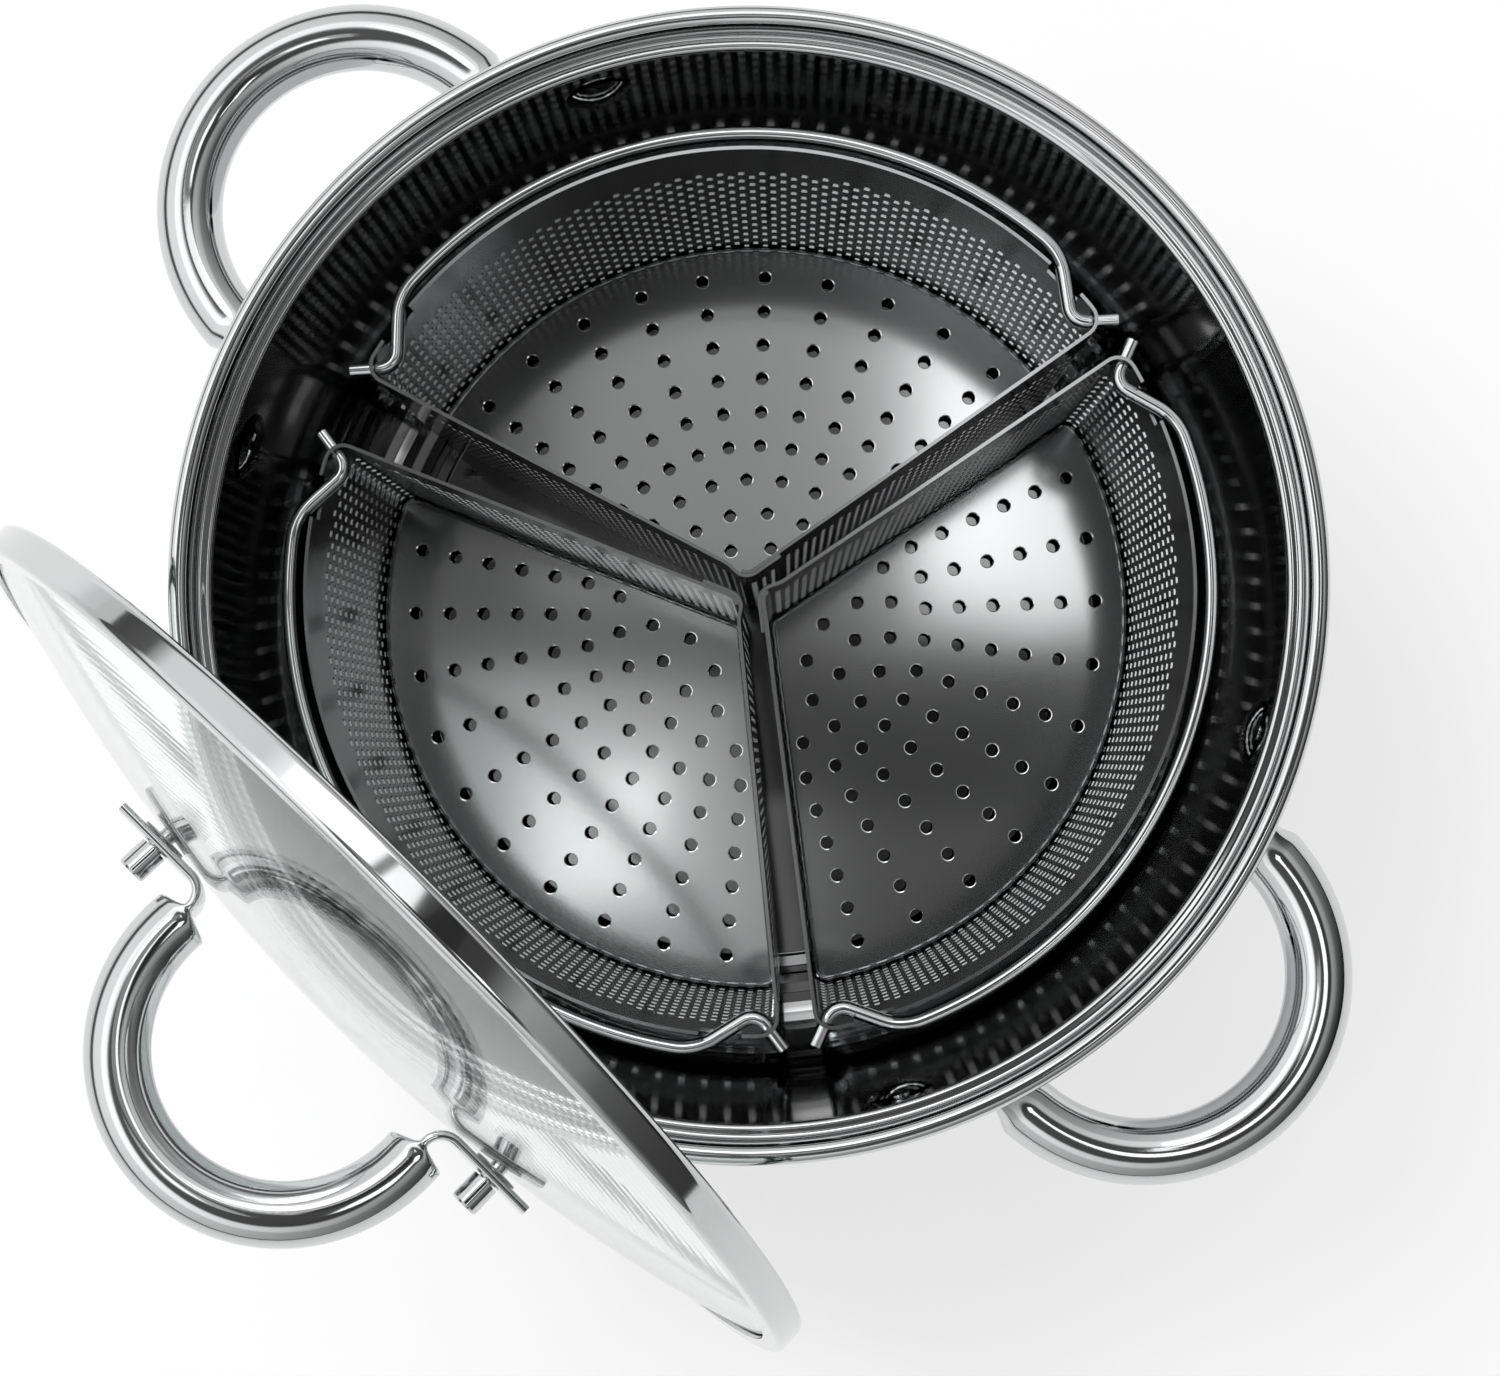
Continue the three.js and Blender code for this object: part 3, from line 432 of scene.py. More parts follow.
LAP_STEP = 4
BAIL_HEIGHT = 98.8
BAIL_WIRE_RADIUS = 1.75
EAR_HOLE_RADIUS = 2.15
NOTCH_FOOT = 96.25
EAR_LENGTH = 7
EAR_HOLE_SIDES = 24
INSIDE_HOLE = 0.98
NOTCH_LENGTH = 10
NOTCH_CLEAR = 0.2
NOTCH_STEPS = 6
BAND_ROWS = (0.3, 0.5)
FILL_INSIDE = 1
FILL_SLACK = 1e-6
POINT_DIGITS = 4
EDGE_SLACK = 0.01
WALL_WELD = 1e-5
LAP_LIFT = 1.1
SHEET_CREASE = 30

half_angle = math.radians(BASKET_HALF_ANGLE)
wall_normal = 90 + BASKET_HALF_ANGLE


def corner_centre(arc_radius):
    """The middle of the round corner between the arc wall and a straight wall."""
    apex, curve = BASKET_APEX_OFFSET, BASKET_CORNER_RADIUS
    shift = apex * math.cos(half_angle)
    rest = apex**2 + 2 * apex * curve * math.sin(half_angle) + curve**2 - (arc_radius - curve) ** 2
    along = math.sqrt(shift**2 - rest) - shift
    return (
        apex + along * math.cos(half_angle) + curve * math.sin(half_angle),
        along * math.sin(half_angle) - curve * math.cos(half_angle),
    )


def sector_outline(arc_radius, inset, fine):
    """The basket's outline moved in by an inset, anticlockwise from its point."""
    centre = corner_centre(arc_radius)
    spread = math.degrees(math.atan2(centre[1], centre[0]))
    point_centre = (BASKET_APEX_OFFSET + BASKET_APEX_RADIUS / math.sin(half_angle), 0)
    curve = BASKET_CORNER_RADIUS - inset
    return [
        *arc(point_centre, BASKET_APEX_RADIUS - inset, wall_normal, 360 - wall_normal, 2 * fine),
        *arc((centre[0], -centre[1]), curve, -wall_normal, -spread, 3 * fine),
        *arc((0, 0), arc_radius - inset, -spread, spread, 24 * fine)[1:-1],
        *arc(centre, curve, spread, wall_normal, 3 * fine),
    ]


ear_centre = corner_centre(BASKET_RADIUS)
ear_spread = math.atan2(ear_centre[1], ear_centre[0])
point_length = BASKET_APEX_RADIUS * math.radians(360 - 2 * wall_normal)
corner_length = BASKET_CORNER_RADIUS * (math.radians(wall_normal) - ear_spread)
arc_length = BASKET_RADIUS * 2 * ear_spread
wall_end = Vector(arc(ear_centre, BASKET_CORNER_RADIUS, wall_normal, wall_normal, 1)[0])
point_middle = (BASKET_APEX_OFFSET + BASKET_APEX_RADIUS / math.sin(half_angle), 0)
wall_start = Vector(arc(point_middle, BASKET_APEX_RADIUS, wall_normal, wall_normal, 1)[0])
straight_length = (wall_end - wall_start).length
strip_length = point_length + 2 * straight_length + 2 * corner_length + arc_length
arc_from = point_length + straight_length + corner_length
ear_turn = BASKET_CORNER_RADIUS * (math.pi / 2 - ear_spread)
ear_places = (arc_from - ear_turn, arc_from + arc_length + ear_turn)
notch_reach = EAR_LENGTH - ear_turn
notch_places = (
    (arc_from + notch_reach, arc_from + notch_reach + NOTCH_LENGTH),
    (arc_from + arc_length - notch_reach - NOTCH_LENGTH, arc_from + arc_length - notch_reach),
)
slot_count = round(strip_length / SLOT_PITCH)
slot_pitch = strip_length / slot_count
strip_end = strip_length + LAP_SLOTS * slot_pitch
slot_foot = BASKET_TOP - PLAIN_BAND - SLOT_ROWS * SLOT_ROW
band_foot = BASKET_TOP - PLAIN_BAND


def slot_cell():
    """One slot with the sheet round it. The punch draws its edges in, so it is wider inside."""
    edge = [(1, 0), (1, 1), (0, 1), (-1, 1), (-1, 0), (-1, -1), (0, -1), (1, -1)]
    hole = [(x * SLOT_SHOULDER if x and y else x, y) for x, y in edge]
    vertices = []
    for depth, draw in ((0, 0), (-BASKET_SHEET, SLOT_DRAW)):
        vertices += [(x * (SLOT_HALF_LENGTH + draw), y * (SLOT_HALF_HEIGHT + draw), depth) for x, y in hole]
        vertices += [(x * slot_pitch / 2, y * SLOT_ROW / 2, depth) for x, y in edge]
    faces = []
    around, inside = len(edge), 2 * len(edge)
    for k in range(around):
        right = (k + 1) % around
        faces.append((k, k + around, right + around, right))
        faces.append((right + inside, right + inside + around, k + inside + around, k + inside))
        faces.append((k, right, right + inside, k + inside))
    return vertices, faces


def filled(rings, extra, holes):
    """Points and triangles that fill the first ring, with the other rings left open as holes."""
    points, edges = [], []
    for line in rings:
        first = len(points)
        points += [Vector(p) for p in line]
        edges += [(first + k, first + (k + 1) % len(line)) for k in range(len(line))]
    points += [Vector(p) for p in extra]
    flat, _, faces, *_ = delaunay_2d_cdt(points, edges, [], FILL_INSIDE, FILL_SLACK)
    kept = []
    for face in faces:
        middle = sum((flat[i] for i in face), Vector((0, 0))) / len(face)
        if all((middle - Vector(centre)).length > radius * INSIDE_HOLE for centre, radius in holes):
            kept.append(tuple(face))
    return [tuple(p) for p in flat], kept


def plain_band():
    """The strip above the slots, with a hole for the bail in each ear and a notch beside it."""
    halves = 2 * (slot_count + LAP_SLOTS)
    low = [(i * slot_pitch / 2, band_foot) for i in range(halves + 1)]
    top = [(i * slot_pitch / 4, BASKET_TOP) for i in range(2 * halves + 1)]
    for start, stop in notch_places:
        top = [p for p in top if not start - NOTCH_CLEAR < p[0] < stop + NOTCH_CLEAR]
        steps = [start + (stop - start) * i / NOTCH_STEPS for i in range(NOTCH_STEPS + 1)]
        top += [(start, BASKET_TOP), *[(s, NOTCH_FOOT) for s in steps], (stop, BASKET_TOP)]
    top.sort(key=lambda p: p[0])
    ears = [(ear, BAIL_HEIGHT) for ear in ear_places]
    rings = [low + top[::-1], *[ring(ear, EAR_HOLE_RADIUS, EAR_HOLE_SIDES) for ear in ears]]
    inner = [
        (i * slot_pitch / 4, band_foot + PLAIN_BAND * share)
        for i in range(1, 2 * halves)
        for share in BAND_ROWS
    ]
    return filled(rings, inner, [(ear, EAR_HOLE_RADIUS) for ear in ears])


def plain_sheet():
    """All of the strip without slots, given its thickness: band, lower margin and row ends."""
    points, faces = plain_band()
    halves = 2 * (slot_count + LAP_SLOTS)
    patches = [
        [(i * slot_pitch / 2, BASKET_FOOT), ((i + 1) * slot_pitch / 2, BASKET_FOOT),
         ((i + 1) * slot_pitch / 2, slot_foot), (i * slot_pitch / 2, slot_foot)]
        for i in range(halves)
    ]
    for row in range(1, SLOT_ROWS, 2):
        high = band_foot - row * SLOT_ROW
        levels = (high - SLOT_ROW, high - SLOT_ROW / 2, high)
        for start in (0, strip_end - slot_pitch / 2):
            stop = start + slot_pitch / 2
            patches.append([(start, levels[0]), (stop, levels[0]), (stop, levels[1]), (stop, levels[2]),
                            (start, levels[2]), (start, levels[1])])
    for patch in patches:
        faces.append(tuple(range(len(points), len(points) + len(patch))))
        points += patch
    count = len(points)
    vertices = [(s, h, 0) for s, h in points] + [(s, h, -BASKET_SHEET) for s, h in points]
    solid = faces + [tuple(i + count for i in reversed(face)) for face in faces]
    for a, b in outer_edges(points, faces):
        solid.append((b, a, a + count, b + count))
    for row in range(0, SLOT_ROWS, 2):
        for half in (0, 1):
            low = band_foot - (row + 1) * SLOT_ROW + half * SLOT_ROW / 2
            high = low + SLOT_ROW / 2
            for s, (a, b) in ((0, (high, low)), (strip_end, (low, high))):
                first = len(vertices)
                vertices += [(s, a, 0), (s, b, 0), (s, b, -BASKET_SHEET), (s, a, -BASKET_SHEET)]
                solid.append((first + 3, first + 2, first + 1, first))
    return vertices, solid


def outer_edges(points, faces):
    """Edges along the strip's own outline and its ear holes, each in its face's direction."""
    named = [tuple(round(v, POINT_DIGITS) for v in p) for p in points]
    edges = {}
    for face in faces:
        for a, b in zip(face, face[1:] + face[:1]):
            edges[(named[a], named[b])] = (a, b)
    found = []
    for (start, stop), edge in edges.items():
        low, high = sorted((start[1], stop[1]))
        slotted = slot_foot - EDGE_SLACK < low and high < band_foot + EDGE_SLACK
        at_end = start[0] == stop[0] and start[0] in (0, round(strip_end, POINT_DIGITS))
        if (stop, start) not in edges and (at_end or not slotted):
            found.append(edge)
    return found


def helper_mesh(name, vertices, faces):
    """A mesh object that only feeds a node tree."""
    mesh = bpy.data.meshes.new(name)
    mesh.from_pydata([Vector(v) * MM for v in vertices], [], faces)
    return in_scene(name, mesh)


def new_tree(name, inputs):
    """A node tree with named inputs, and the tree's group input and output nodes."""
    tree = bpy.data.node_groups.new(name, "GeometryNodeTree")
    for label, kind in inputs:
        tree.interface.new_socket(label, in_out="INPUT", socket_type=kind)
    tree.interface.new_socket("Geometry", in_out="OUTPUT", socket_type="NodeSocketGeometry")
    return tree, tree.nodes.new("NodeGroupInput"), tree.nodes.new("NodeGroupOutput")


def apply_tree(host, tree, values):
    """The plain mesh that a tree makes of its host, with the tree's inputs set by identifier."""
    modifier = host.modifiers.new(tree.name, "NODES")
    modifier.node_group = tree
    for item in tree.interface.items_tree:
        if item.in_out == "INPUT" and item.name in values:
            modifier[item.identifier] = values[item.name]
    graph = bpy.context.evaluated_depsgraph_get()
    mesh = bpy.data.meshes.new_from_object(host.evaluated_get(graph), depsgraph=graph)
    host.modifiers.remove(modifier)
    return mesh


def set_out(tree, given, places, shape, rest):
    """Copies of a shape set at points and made real, joined to the rest of the piece."""
    new, link = tree.nodes.new, tree.links.new
    one, other = new("GeometryNodeObjectInfo"), new("GeometryNodeObjectInfo")
    link(given.outputs[shape], one.inputs["Object"])
    link(given.outputs[rest], other.inputs["Object"])
    copies = new("GeometryNodeInstanceOnPoints")
    link(given.outputs[places], copies.inputs["Points"])
    link(one.outputs["Geometry"], copies.inputs["Instance"])
    real = new("GeometryNodeRealizeInstances")
    link(copies.outputs["Instances"], real.inputs["Geometry"])
    joined = new("GeometryNodeJoinGeometry")
    link(real.outputs["Geometry"], joined.inputs["Geometry"])
    link(other.outputs["Geometry"], joined.inputs["Geometry"])
    return joined.outputs["Geometry"]


def weld_and_dress(tree, given, result, geometry, distance):
    """The tree's end: touching points are welded, and the steel is set."""
    welded = tree.nodes.new("GeometryNodeMergeByDistance")
    welded.inputs["Distance"].default_value = distance
    tree.links.new(geometry, welded.inputs["Geometry"])
    dressed = tree.nodes.new("GeometryNodeSetMaterial")
    tree.links.new(welded.outputs["Geometry"], dressed.inputs["Geometry"])
    tree.links.new(given.outputs["Steel"], dressed.inputs["Material"])
    tree.links.new(dressed.outputs["Geometry"], result.inputs["Geometry"])
    return tree


def wall_tree():
    """Slot cells set along the strip, joined to its plain parts and bent round the outline."""
    tree, given, result = new_tree(
        "slotted strip",
        [
            ("Slot places", "NodeSocketGeometry"),
            ("Slot cell", "NodeSocketObject"),
            ("Plain sheet", "NodeSocketObject"),
            ("Outline", "NodeSocketObject"),
            ("Strip length", "NodeSocketFloat"),
            ("Lap step", "NodeSocketFloat"),
            ("Lap lift", "NodeSocketFloat"),
            ("Foot height", "NodeSocketFloat"),
            ("Top height", "NodeSocketFloat"),
            ("Foot share", "NodeSocketFloat"),
            ("Steel", "NodeSocketMaterial"),
        ],
    )
    new, link = tree.nodes.new, tree.links.new

    def maths(operation, first, second, third=None):
        node = new("ShaderNodeMath")
        node.operation = operation
        for socket, value in zip(node.inputs, (first, second, third)):
            if value is None:
                continue
            if isinstance(value, (int, float)):
                socket.default_value = value
            else:
                link(value, socket)
        return node.outputs[0]

    def vectors(operation, first, second):
        node = new("ShaderNodeVectorMath")
        node.operation = operation
        link(first, node.inputs[0])
        if operation == "SCALE":
            link(second, node.inputs["Scale"])
        elif isinstance(second, tuple):
            node.inputs[1].default_value = second
        else:
            link(second, node.inputs[1])
        return node.outputs[0]

    strip = set_out(tree, given, "Slot places", "Slot cell", "Plain sheet")
    outline = new("GeometryNodeObjectInfo")
    link(given.outputs["Outline"], outline.inputs["Object"])
    split = new("ShaderNodeSeparateXYZ")
    link(new("GeometryNodeInputPosition").outputs[0], split.inputs[0])
    along, height, depth = split.outputs
    length = given.outputs["Strip length"]
    bend = new("GeometryNodeSampleCurve")
    bend.mode = "LENGTH"
    link(outline.outputs["Geometry"], bend.inputs["Curves"])
    link(maths("WRAP", along, length, 0), bend.inputs["Length"])
    lap = new("ShaderNodeMapRange")
    lap.interpolation_type = "SMOOTHSTEP"
    link(along, lap.inputs["Value"])
    link(maths("SUBTRACT", length, given.outputs["Lap step"]), lap.inputs["From Min"])
    link(length, lap.inputs["From Max"])
    lap.inputs["To Min"].default_value = 0
    link(given.outputs["Lap lift"], lap.inputs["To Max"])
    outwards = vectors("CROSS_PRODUCT", bend.outputs["Tangent"], (0, 0, 1))
    offset = vectors("SCALE", outwards, maths("ADD", depth, lap.outputs["Result"]))
    flat = vectors("ADD", bend.outputs["Position"], offset)
    share = new("ShaderNodeMapRange")
    link(height, share.inputs["Value"])
    link(given.outputs["Foot height"], share.inputs["From Min"])
    link(given.outputs["Top height"], share.inputs["From Max"])
    link(given.outputs["Foot share"], share.inputs["To Min"])
    share.inputs["To Max"].default_value = 1
    tapered = vectors("SCALE", flat, share.outputs["Result"])
    lift = new("ShaderNodeCombineXYZ")
    link(height, lift.inputs["Z"])
    bent = new("GeometryNodeSetPosition")
    link(strip, bent.inputs["Geometry"])
    link(vectors("ADD", tapered, lift.outputs[0]), bent.inputs["Position"])
    return weld_and_dress(tree, given, result, bent.outputs["Geometry"], WALL_WELD)


outline_curve = bpy.data.curves.new("basket outline", "CURVE")
outline_curve.dimensions = "3D"
outline_line = outline_curve.splines.new("POLY")
outline_points = sector_outline(BASKET_RADIUS, 0, fine=6)
outline_line.points.add(len(outline_points) - 1)
for corner, (x, y) in zip(outline_line.points, outline_points):
    corner.co = (x * MM, y * MM, 0, 1)
outline_line.use_cyclic_u = True
outline_helper = in_scene("basket outline", outline_curve)
slot_places = [
    ((k + 0.5 + row % 2 / 2) * slot_pitch, band_foot - (row + 0.5) * SLOT_ROW, 0)
    for row in range(SLOT_ROWS)
    for k in range(slot_count + LAP_SLOTS - row % 2)
]
slot_helper = helper_mesh("slot cell", *slot_cell())
sheet_helper = helper_mesh("plain sheet", *plain_sheet())
place_helper = helper_mesh("slot places", slot_places, [])
# Painted shade: the strip's steel is painted darker than the pot's steel and dulled at flat angles,
# standing for the shade on the walls inside the pot.
shaded_wall_steel = steel(
    "strip steel painted shade", (0.40, 0.405, 0.41), roughness=0.16, wave_scale=40, wave_depth=0.0001, edge=0.3
)
wall_mesh = apply_tree(
    place_helper,
    wall_tree(),
    {
        "Slot cell": slot_helper,
        "Plain sheet": sheet_helper,
        "Outline": outline_helper,
        "Strip length": strip_length * MM,
        "Lap step": LAP_STEP * MM,
        "Lap lift": BASKET_SHEET * LAP_LIFT * MM,
        "Foot height": BASKET_FOOT * MM,
        "Top height": BASKET_TOP * MM,
        "Foot share": 1 - BASKET_TAPER / BASKET_RADIUS,
        "Steel": shaded_wall_steel,
    },
)
for helper in (slot_helper, sheet_helper, place_helper, outline_helper):
    bpy.data.objects.remove(helper)
basket_turns = {place: Matrix.Rotation(math.radians(b), 4, "Z") for place, b in BASKET_BEARINGS.items()}
for place, turn in basket_turns.items():
    mesh = wall_mesh.copy()
    mesh.transform(turn)
    finish_piece(f"{place}_slotted_wall", mesh, shaded_wall_steel, f"{place}_basket",
                 [f"{place}_basket_wall"], SHEET_CREASE)

# Basket floors: pressed steel pans with a turned-down edge, spot-welded inside the walls a little
# above their lower edge. Steam comes up through rows of round punched holes.
PAN_TOP = 11.5
PAN_UNDERSIDE = 10.7
PAN_FOOT_RADIUS = 101.5
PAN_INSET = 1.1
PAN_BEND = 1.5
PAN_EDGE_FOOT = 7.7
HOLE_RADIUS = 1.7
HOLE_BEVEL = 0.25
HOLE_BEVEL_DEPTH = 0.08
PAN_CREASE = 16
PAN_WELD = 5e-6
PAN_FINE = 3
HOLE_SIDES = 20
HOLE_OUTER_ROW = 91.8
HOLE_ROW_PITCH = 9.15
HOLE_ROWS = ((10, 10.7),) * 6 + ((7, 15), (4, 21), (2, 34))


def hole_places():
    """Centres of the steam holes, row by row from the arc wall to the point."""
    places = []
    for row, (count, step) in enumerate(HOLE_ROWS):
        radius = HOLE_OUTER_ROW - row * HOLE_ROW_PITCH
        turns = [math.radians((i - (count - 1) / 2) * step) for i in range(count)]
        places += [(radius * math.cos(t), radius * math.sin(t)) for t in turns]
    return places


def punched_plate(outline, hole_radius, height, upwards):
    """A flat plate with the steam holes left open, as triangles at one height."""
    rings = [outline, *[ring(centre, hole_radius, HOLE_SIDES) for centre in hole_places()]]
    flat, faces = filled(rings, [], [(centre, hole_radius) for centre in hole_places()])
    faces = faces if upwards else [face[::-1] for face in faces]
    return [(x, y, height) for x, y in flat], faces


def pan_edge():
    """The pan's turned-down edge, from the flat floor round the bend to the flat underside."""
    flat_inset = PAN_INSET + PAN_BEND
    middle = PAN_TOP - PAN_BEND
    upper = [(flat_inset - x, z) for x, z in arc((0, middle), PAN_BEND, 90, 0, 6)]
    lower = [(flat_inset - x, z) for x, z in arc((0, middle), PAN_BEND - BASKET_SHEET, 0, 90, 6)]
    upper.insert(0, (flat_inset + HOLD, PAN_TOP))
    lower.append((flat_inset + HOLD, PAN_UNDERSIDE))
    foot = [(PAN_INSET, PAN_EDGE_FOOT), (PAN_INSET + BASKET_SHEET, PAN_EDGE_FOOT)]
    rings = [
        [(x, y, z) for x, y in sector_outline(PAN_FOOT_RADIUS, inset, PAN_FINE)]
        for inset, z in [*upper, *foot, *lower]
    ]
    return *skin(rings[::-1]), sector_outline(PAN_FOOT_RADIUS, flat_inset + HOLD, PAN_FINE)


def hole_rim():
    """The bevelled wall of one steam hole."""
    bevel_foot = PAN_TOP - HOLE_BEVEL_DEPTH
    steps = ((HOLE_RADIUS + HOLE_BEVEL, PAN_TOP), (HOLE_RADIUS, bevel_foot), (HOLE_RADIUS, PAN_UNDERSIDE))
    return turned(steps, HOLE_SIDES)


def rim_tree():
    """Hole rims set at the hole places and welded into the plate."""
    tree, given, result = new_tree(
        "punched holes",
        [
            ("Hole places", "NodeSocketGeometry"),
            ("Hole rim", "NodeSocketObject"),
            ("Plate", "NodeSocketObject"),
            ("Steel", "NodeSocketMaterial"),
        ],
    )
    punched = set_out(tree, given, "Hole places", "Hole rim", "Plate")
    return weld_and_dress(tree, given, result, punched, PAN_WELD)


plate_vertices, plate_faces, plate_outline = pan_edge()
for hole_radius, height, upwards in (
    (HOLE_RADIUS + HOLE_BEVEL, PAN_TOP, True),
    (HOLE_RADIUS, PAN_UNDERSIDE, False),
):
    vertices, faces = punched_plate(plate_outline, hole_radius, height, upwards)
    first = len(plate_vertices)
    plate_vertices += vertices
    plate_faces += [tuple(i + first for i in face) for face in faces]
plate_helper = helper_mesh("plate", plate_vertices, plate_faces)
rim_helper = helper_mesh("hole rim", *hole_rim())
hole_helper = helper_mesh("hole places", [(x, y, 0) for x, y in hole_places()], [])
pan_steel = steel("pan steel", STEEL_COLOUR, roughness=0.12, wave_scale=9, wave_depth=0.0009)
pan_mesh = apply_tree(
    hole_helper, rim_tree(), {"Hole rim": rim_helper, "Plate": plate_helper, "Steel": pan_steel}
)
for helper in (plate_helper, rim_helper, hole_helper):
    bpy.data.objects.remove(helper)
for place, turn in basket_turns.items():
    mesh = pan_mesh.copy()
    mesh.transform(turn)
    finish_piece(f"{place}_pan", mesh, pan_steel, f"{place}_basket",
                 [f"{place}_basket_floor"], PAN_CREASE)

# Bails: round steel wire that lies round the outside of the arc wall, turns in through the notches
# and comes out through the ears, so that it hinges in their holes.
BAIL_ARC_RADIUS = 107
BAIL_TIP_LENGTH = 5
BAIL_INNER_RUN = 2
BAIL_INNER_BEND = 4
BAIL_INNER_TURN = 85
BAIL_OUTER_BEND = 14
WIRE_SIDES = 18

wire_section = (BAIL_WIRE_RADIUS, BAIL_WIRE_RADIUS, 1)
bail_tip = (ear_centre[0], ear_centre[1] + BASKET_CORNER_RADIUS + BAIL_TIP_LENGTH, *wire_section)
bail_inward = [
    {"run": BAIL_TIP_LENGTH + BAIL_INNER_RUN, "steps": 2, "section": wire_section},
    {"bend": BAIL_INNER_TURN, "radius": BAIL_INNER_BEND, "steps": 10, "section": wire_section},
]
inside_x, inside_y, inside_heading, *_ = route(bail_tip, -90, bail_inward)[-1]
ahead = Vector((math.cos(inside_heading), math.sin(inside_heading)))
bend_from = Vector((inside_x, inside_y)) + Vector((ahead.y, -ahead.x)) * BAIL_OUTER_BEND
drift = bend_from.dot(ahead)
crossing = math.sqrt(drift**2 - bend_from.length_squared + (BAIL_ARC_RADIUS - BAIL_OUTER_BEND) ** 2) - drift
bend_centre = bend_from + ahead * crossing
bail_start = math.degrees(math.atan2(bend_centre.y, bend_centre.x))
outer_turn = bail_start - 90 - math.degrees(inside_heading)
bail_outward = [
    {"run": crossing, "steps": 2, "section": wire_section},
    {"bend": outer_turn, "radius": BAIL_OUTER_BEND, "steps": 12, "section": wire_section},
]
bail_round = {"bend": -2 * bail_start, "radius": BAIL_ARC_RADIUS, "steps": 72, "section": wire_section}
bail_there = bail_inward + bail_outward
bail_route = route(bail_tip, -90, [*bail_there, bail_round, *reversed(bail_there)])
wire_steel = steel("wire steel", (0.64, 0.645, 0.65), roughness=0.1)
bail_lift = Matrix.Translation((0, 0, BAIL_HEIGHT * MM))
for place, turn in basket_turns.items():
    set_down(
        f"{place}_wire_bail", *swept(bail_route, WIRE_SIDES, 0), wire_steel,
        f"{place}_bail", "polished_steel", [f"{place}_basket_bail"], turn @ bail_lift,
    )

# Lid glass: a clear domed disc of toughened glass that the handle's two screws pass through. The lid
# stands on the table beside the pot and leans on the pot's lip.
LID_LEAN = 14.76446
LID_PLACE = (0, -110.70491, 118.7905)
BAND_RADIUS = 122.8
BAND_HEIGHT = 7.4
BAND_SHEET = 0.8
BAND_TOP_LIP = 5
BAND_BOTTOM_LIP = 3.5
BAND_EDGE = 1.6
GLASS_RADIUS = 121.7
GLASS_THICKNESS = 4
GLASS_RISE = 18
GLASS_RINGS = 60
GLASS_SEGMENTS = 240
LID_FIT = 0.3

lid_turn = Matrix.Rotation(math.radians(90 - LID_LEAN), 4, "X")
lid_matrix = Matrix.Translation(Vector(LID_PLACE) * MM) @ lid_turn
ball_radius = (GLASS_RADIUS**2 + GLASS_RISE**2) / (2 * GLASS_RISE)
lip_inner = BAND_RADIUS - BAND_TOP_LIP
crown = BAND_HEIGHT - BAND_SHEET - LID_FIT + ball_radius - math.sqrt(ball_radius**2 - lip_inner**2)
ball_centre = crown - ball_radius


def glass_height(radius, offset):
    """Height of the glass's outer face, or of a face offset from it, in the lid's own frame."""
    return ball_centre + math.sqrt((ball_radius + offset) ** 2 - radius**2)


def glass_face(offset):
    """Points across a face of the glass, from its edge to the crown."""
    radii = [GLASS_RADIUS * (1 - i / GLASS_RINGS) for i in range(GLASS_RINGS + 1)]
    return [(radius, glass_height(radius, offset)) for radius in radii]


clear_glass = finish_of("clear glass", (0.95, 0.98, 0.97), Roughness=0, IOR=1.5, Transmission_Weight=1)
glass_profile = [*reversed(glass_face(-GLASS_THICKNESS)), *glass_face(0)]
set_down(
    "lid_dome", *turned(glass_profile, GLASS_SEGMENTS), clear_glass,
    "lid", "glass", ["lid_glass"], lid_matrix,
)

# Lid band: a polished steel channel rolled round the edge of the glass, with one lip over it and a
# narrower one under it.
BAND_SEGMENTS = 240

band_inside = BAND_RADIUS - BAND_SHEET
band_profile = [
    (BAND_RADIUS - BAND_BOTTOM_LIP, 0),
    *arc((BAND_RADIUS - BAND_EDGE, BAND_EDGE), BAND_EDGE, -90, 0, 6),
    *arc((BAND_RADIUS - BAND_EDGE, BAND_HEIGHT - BAND_EDGE), BAND_EDGE, 0, 90, 6),
    (lip_inner, BAND_HEIGHT),
    (lip_inner, BAND_HEIGHT - BAND_SHEET),
    (band_inside - BAND_SHEET, BAND_HEIGHT - BAND_SHEET),
    (band_inside, BAND_HEIGHT - 2 * BAND_SHEET),
    (band_inside, 2 * BAND_SHEET),
    (band_inside - BAND_SHEET, BAND_SHEET),
    (BAND_RADIUS - BAND_BOTTOM_LIP, BAND_SHEET),
    (BAND_RADIUS - BAND_BOTTOM_LIP, 0),
]
set_down(
    "lid_rim", *turned(band_profile, BAND_SEGMENTS), polished_steel,
    "lid", "polished_steel", ["lid_band"], lid_matrix,
)

# Lid handle: polished tube bent past a half ring, its ends pressed flat and turned out into feet
# that are screwed through the glass.
LID_TUBE_RADIUS = 7.2
LID_TUBE_WALL = 0.8
LID_ARC_RADIUS = 36.5
LID_ARC_PAST = 4
LID_FOOT_BEND = 5
LID_NECK = 2.5
LID_TAB_HALF_THICKNESS = 1.2
LID_TAB_HALF_WIDTH = 8
LID_TAB_LENGTH = 21
SPACER_THICKNESS = 1

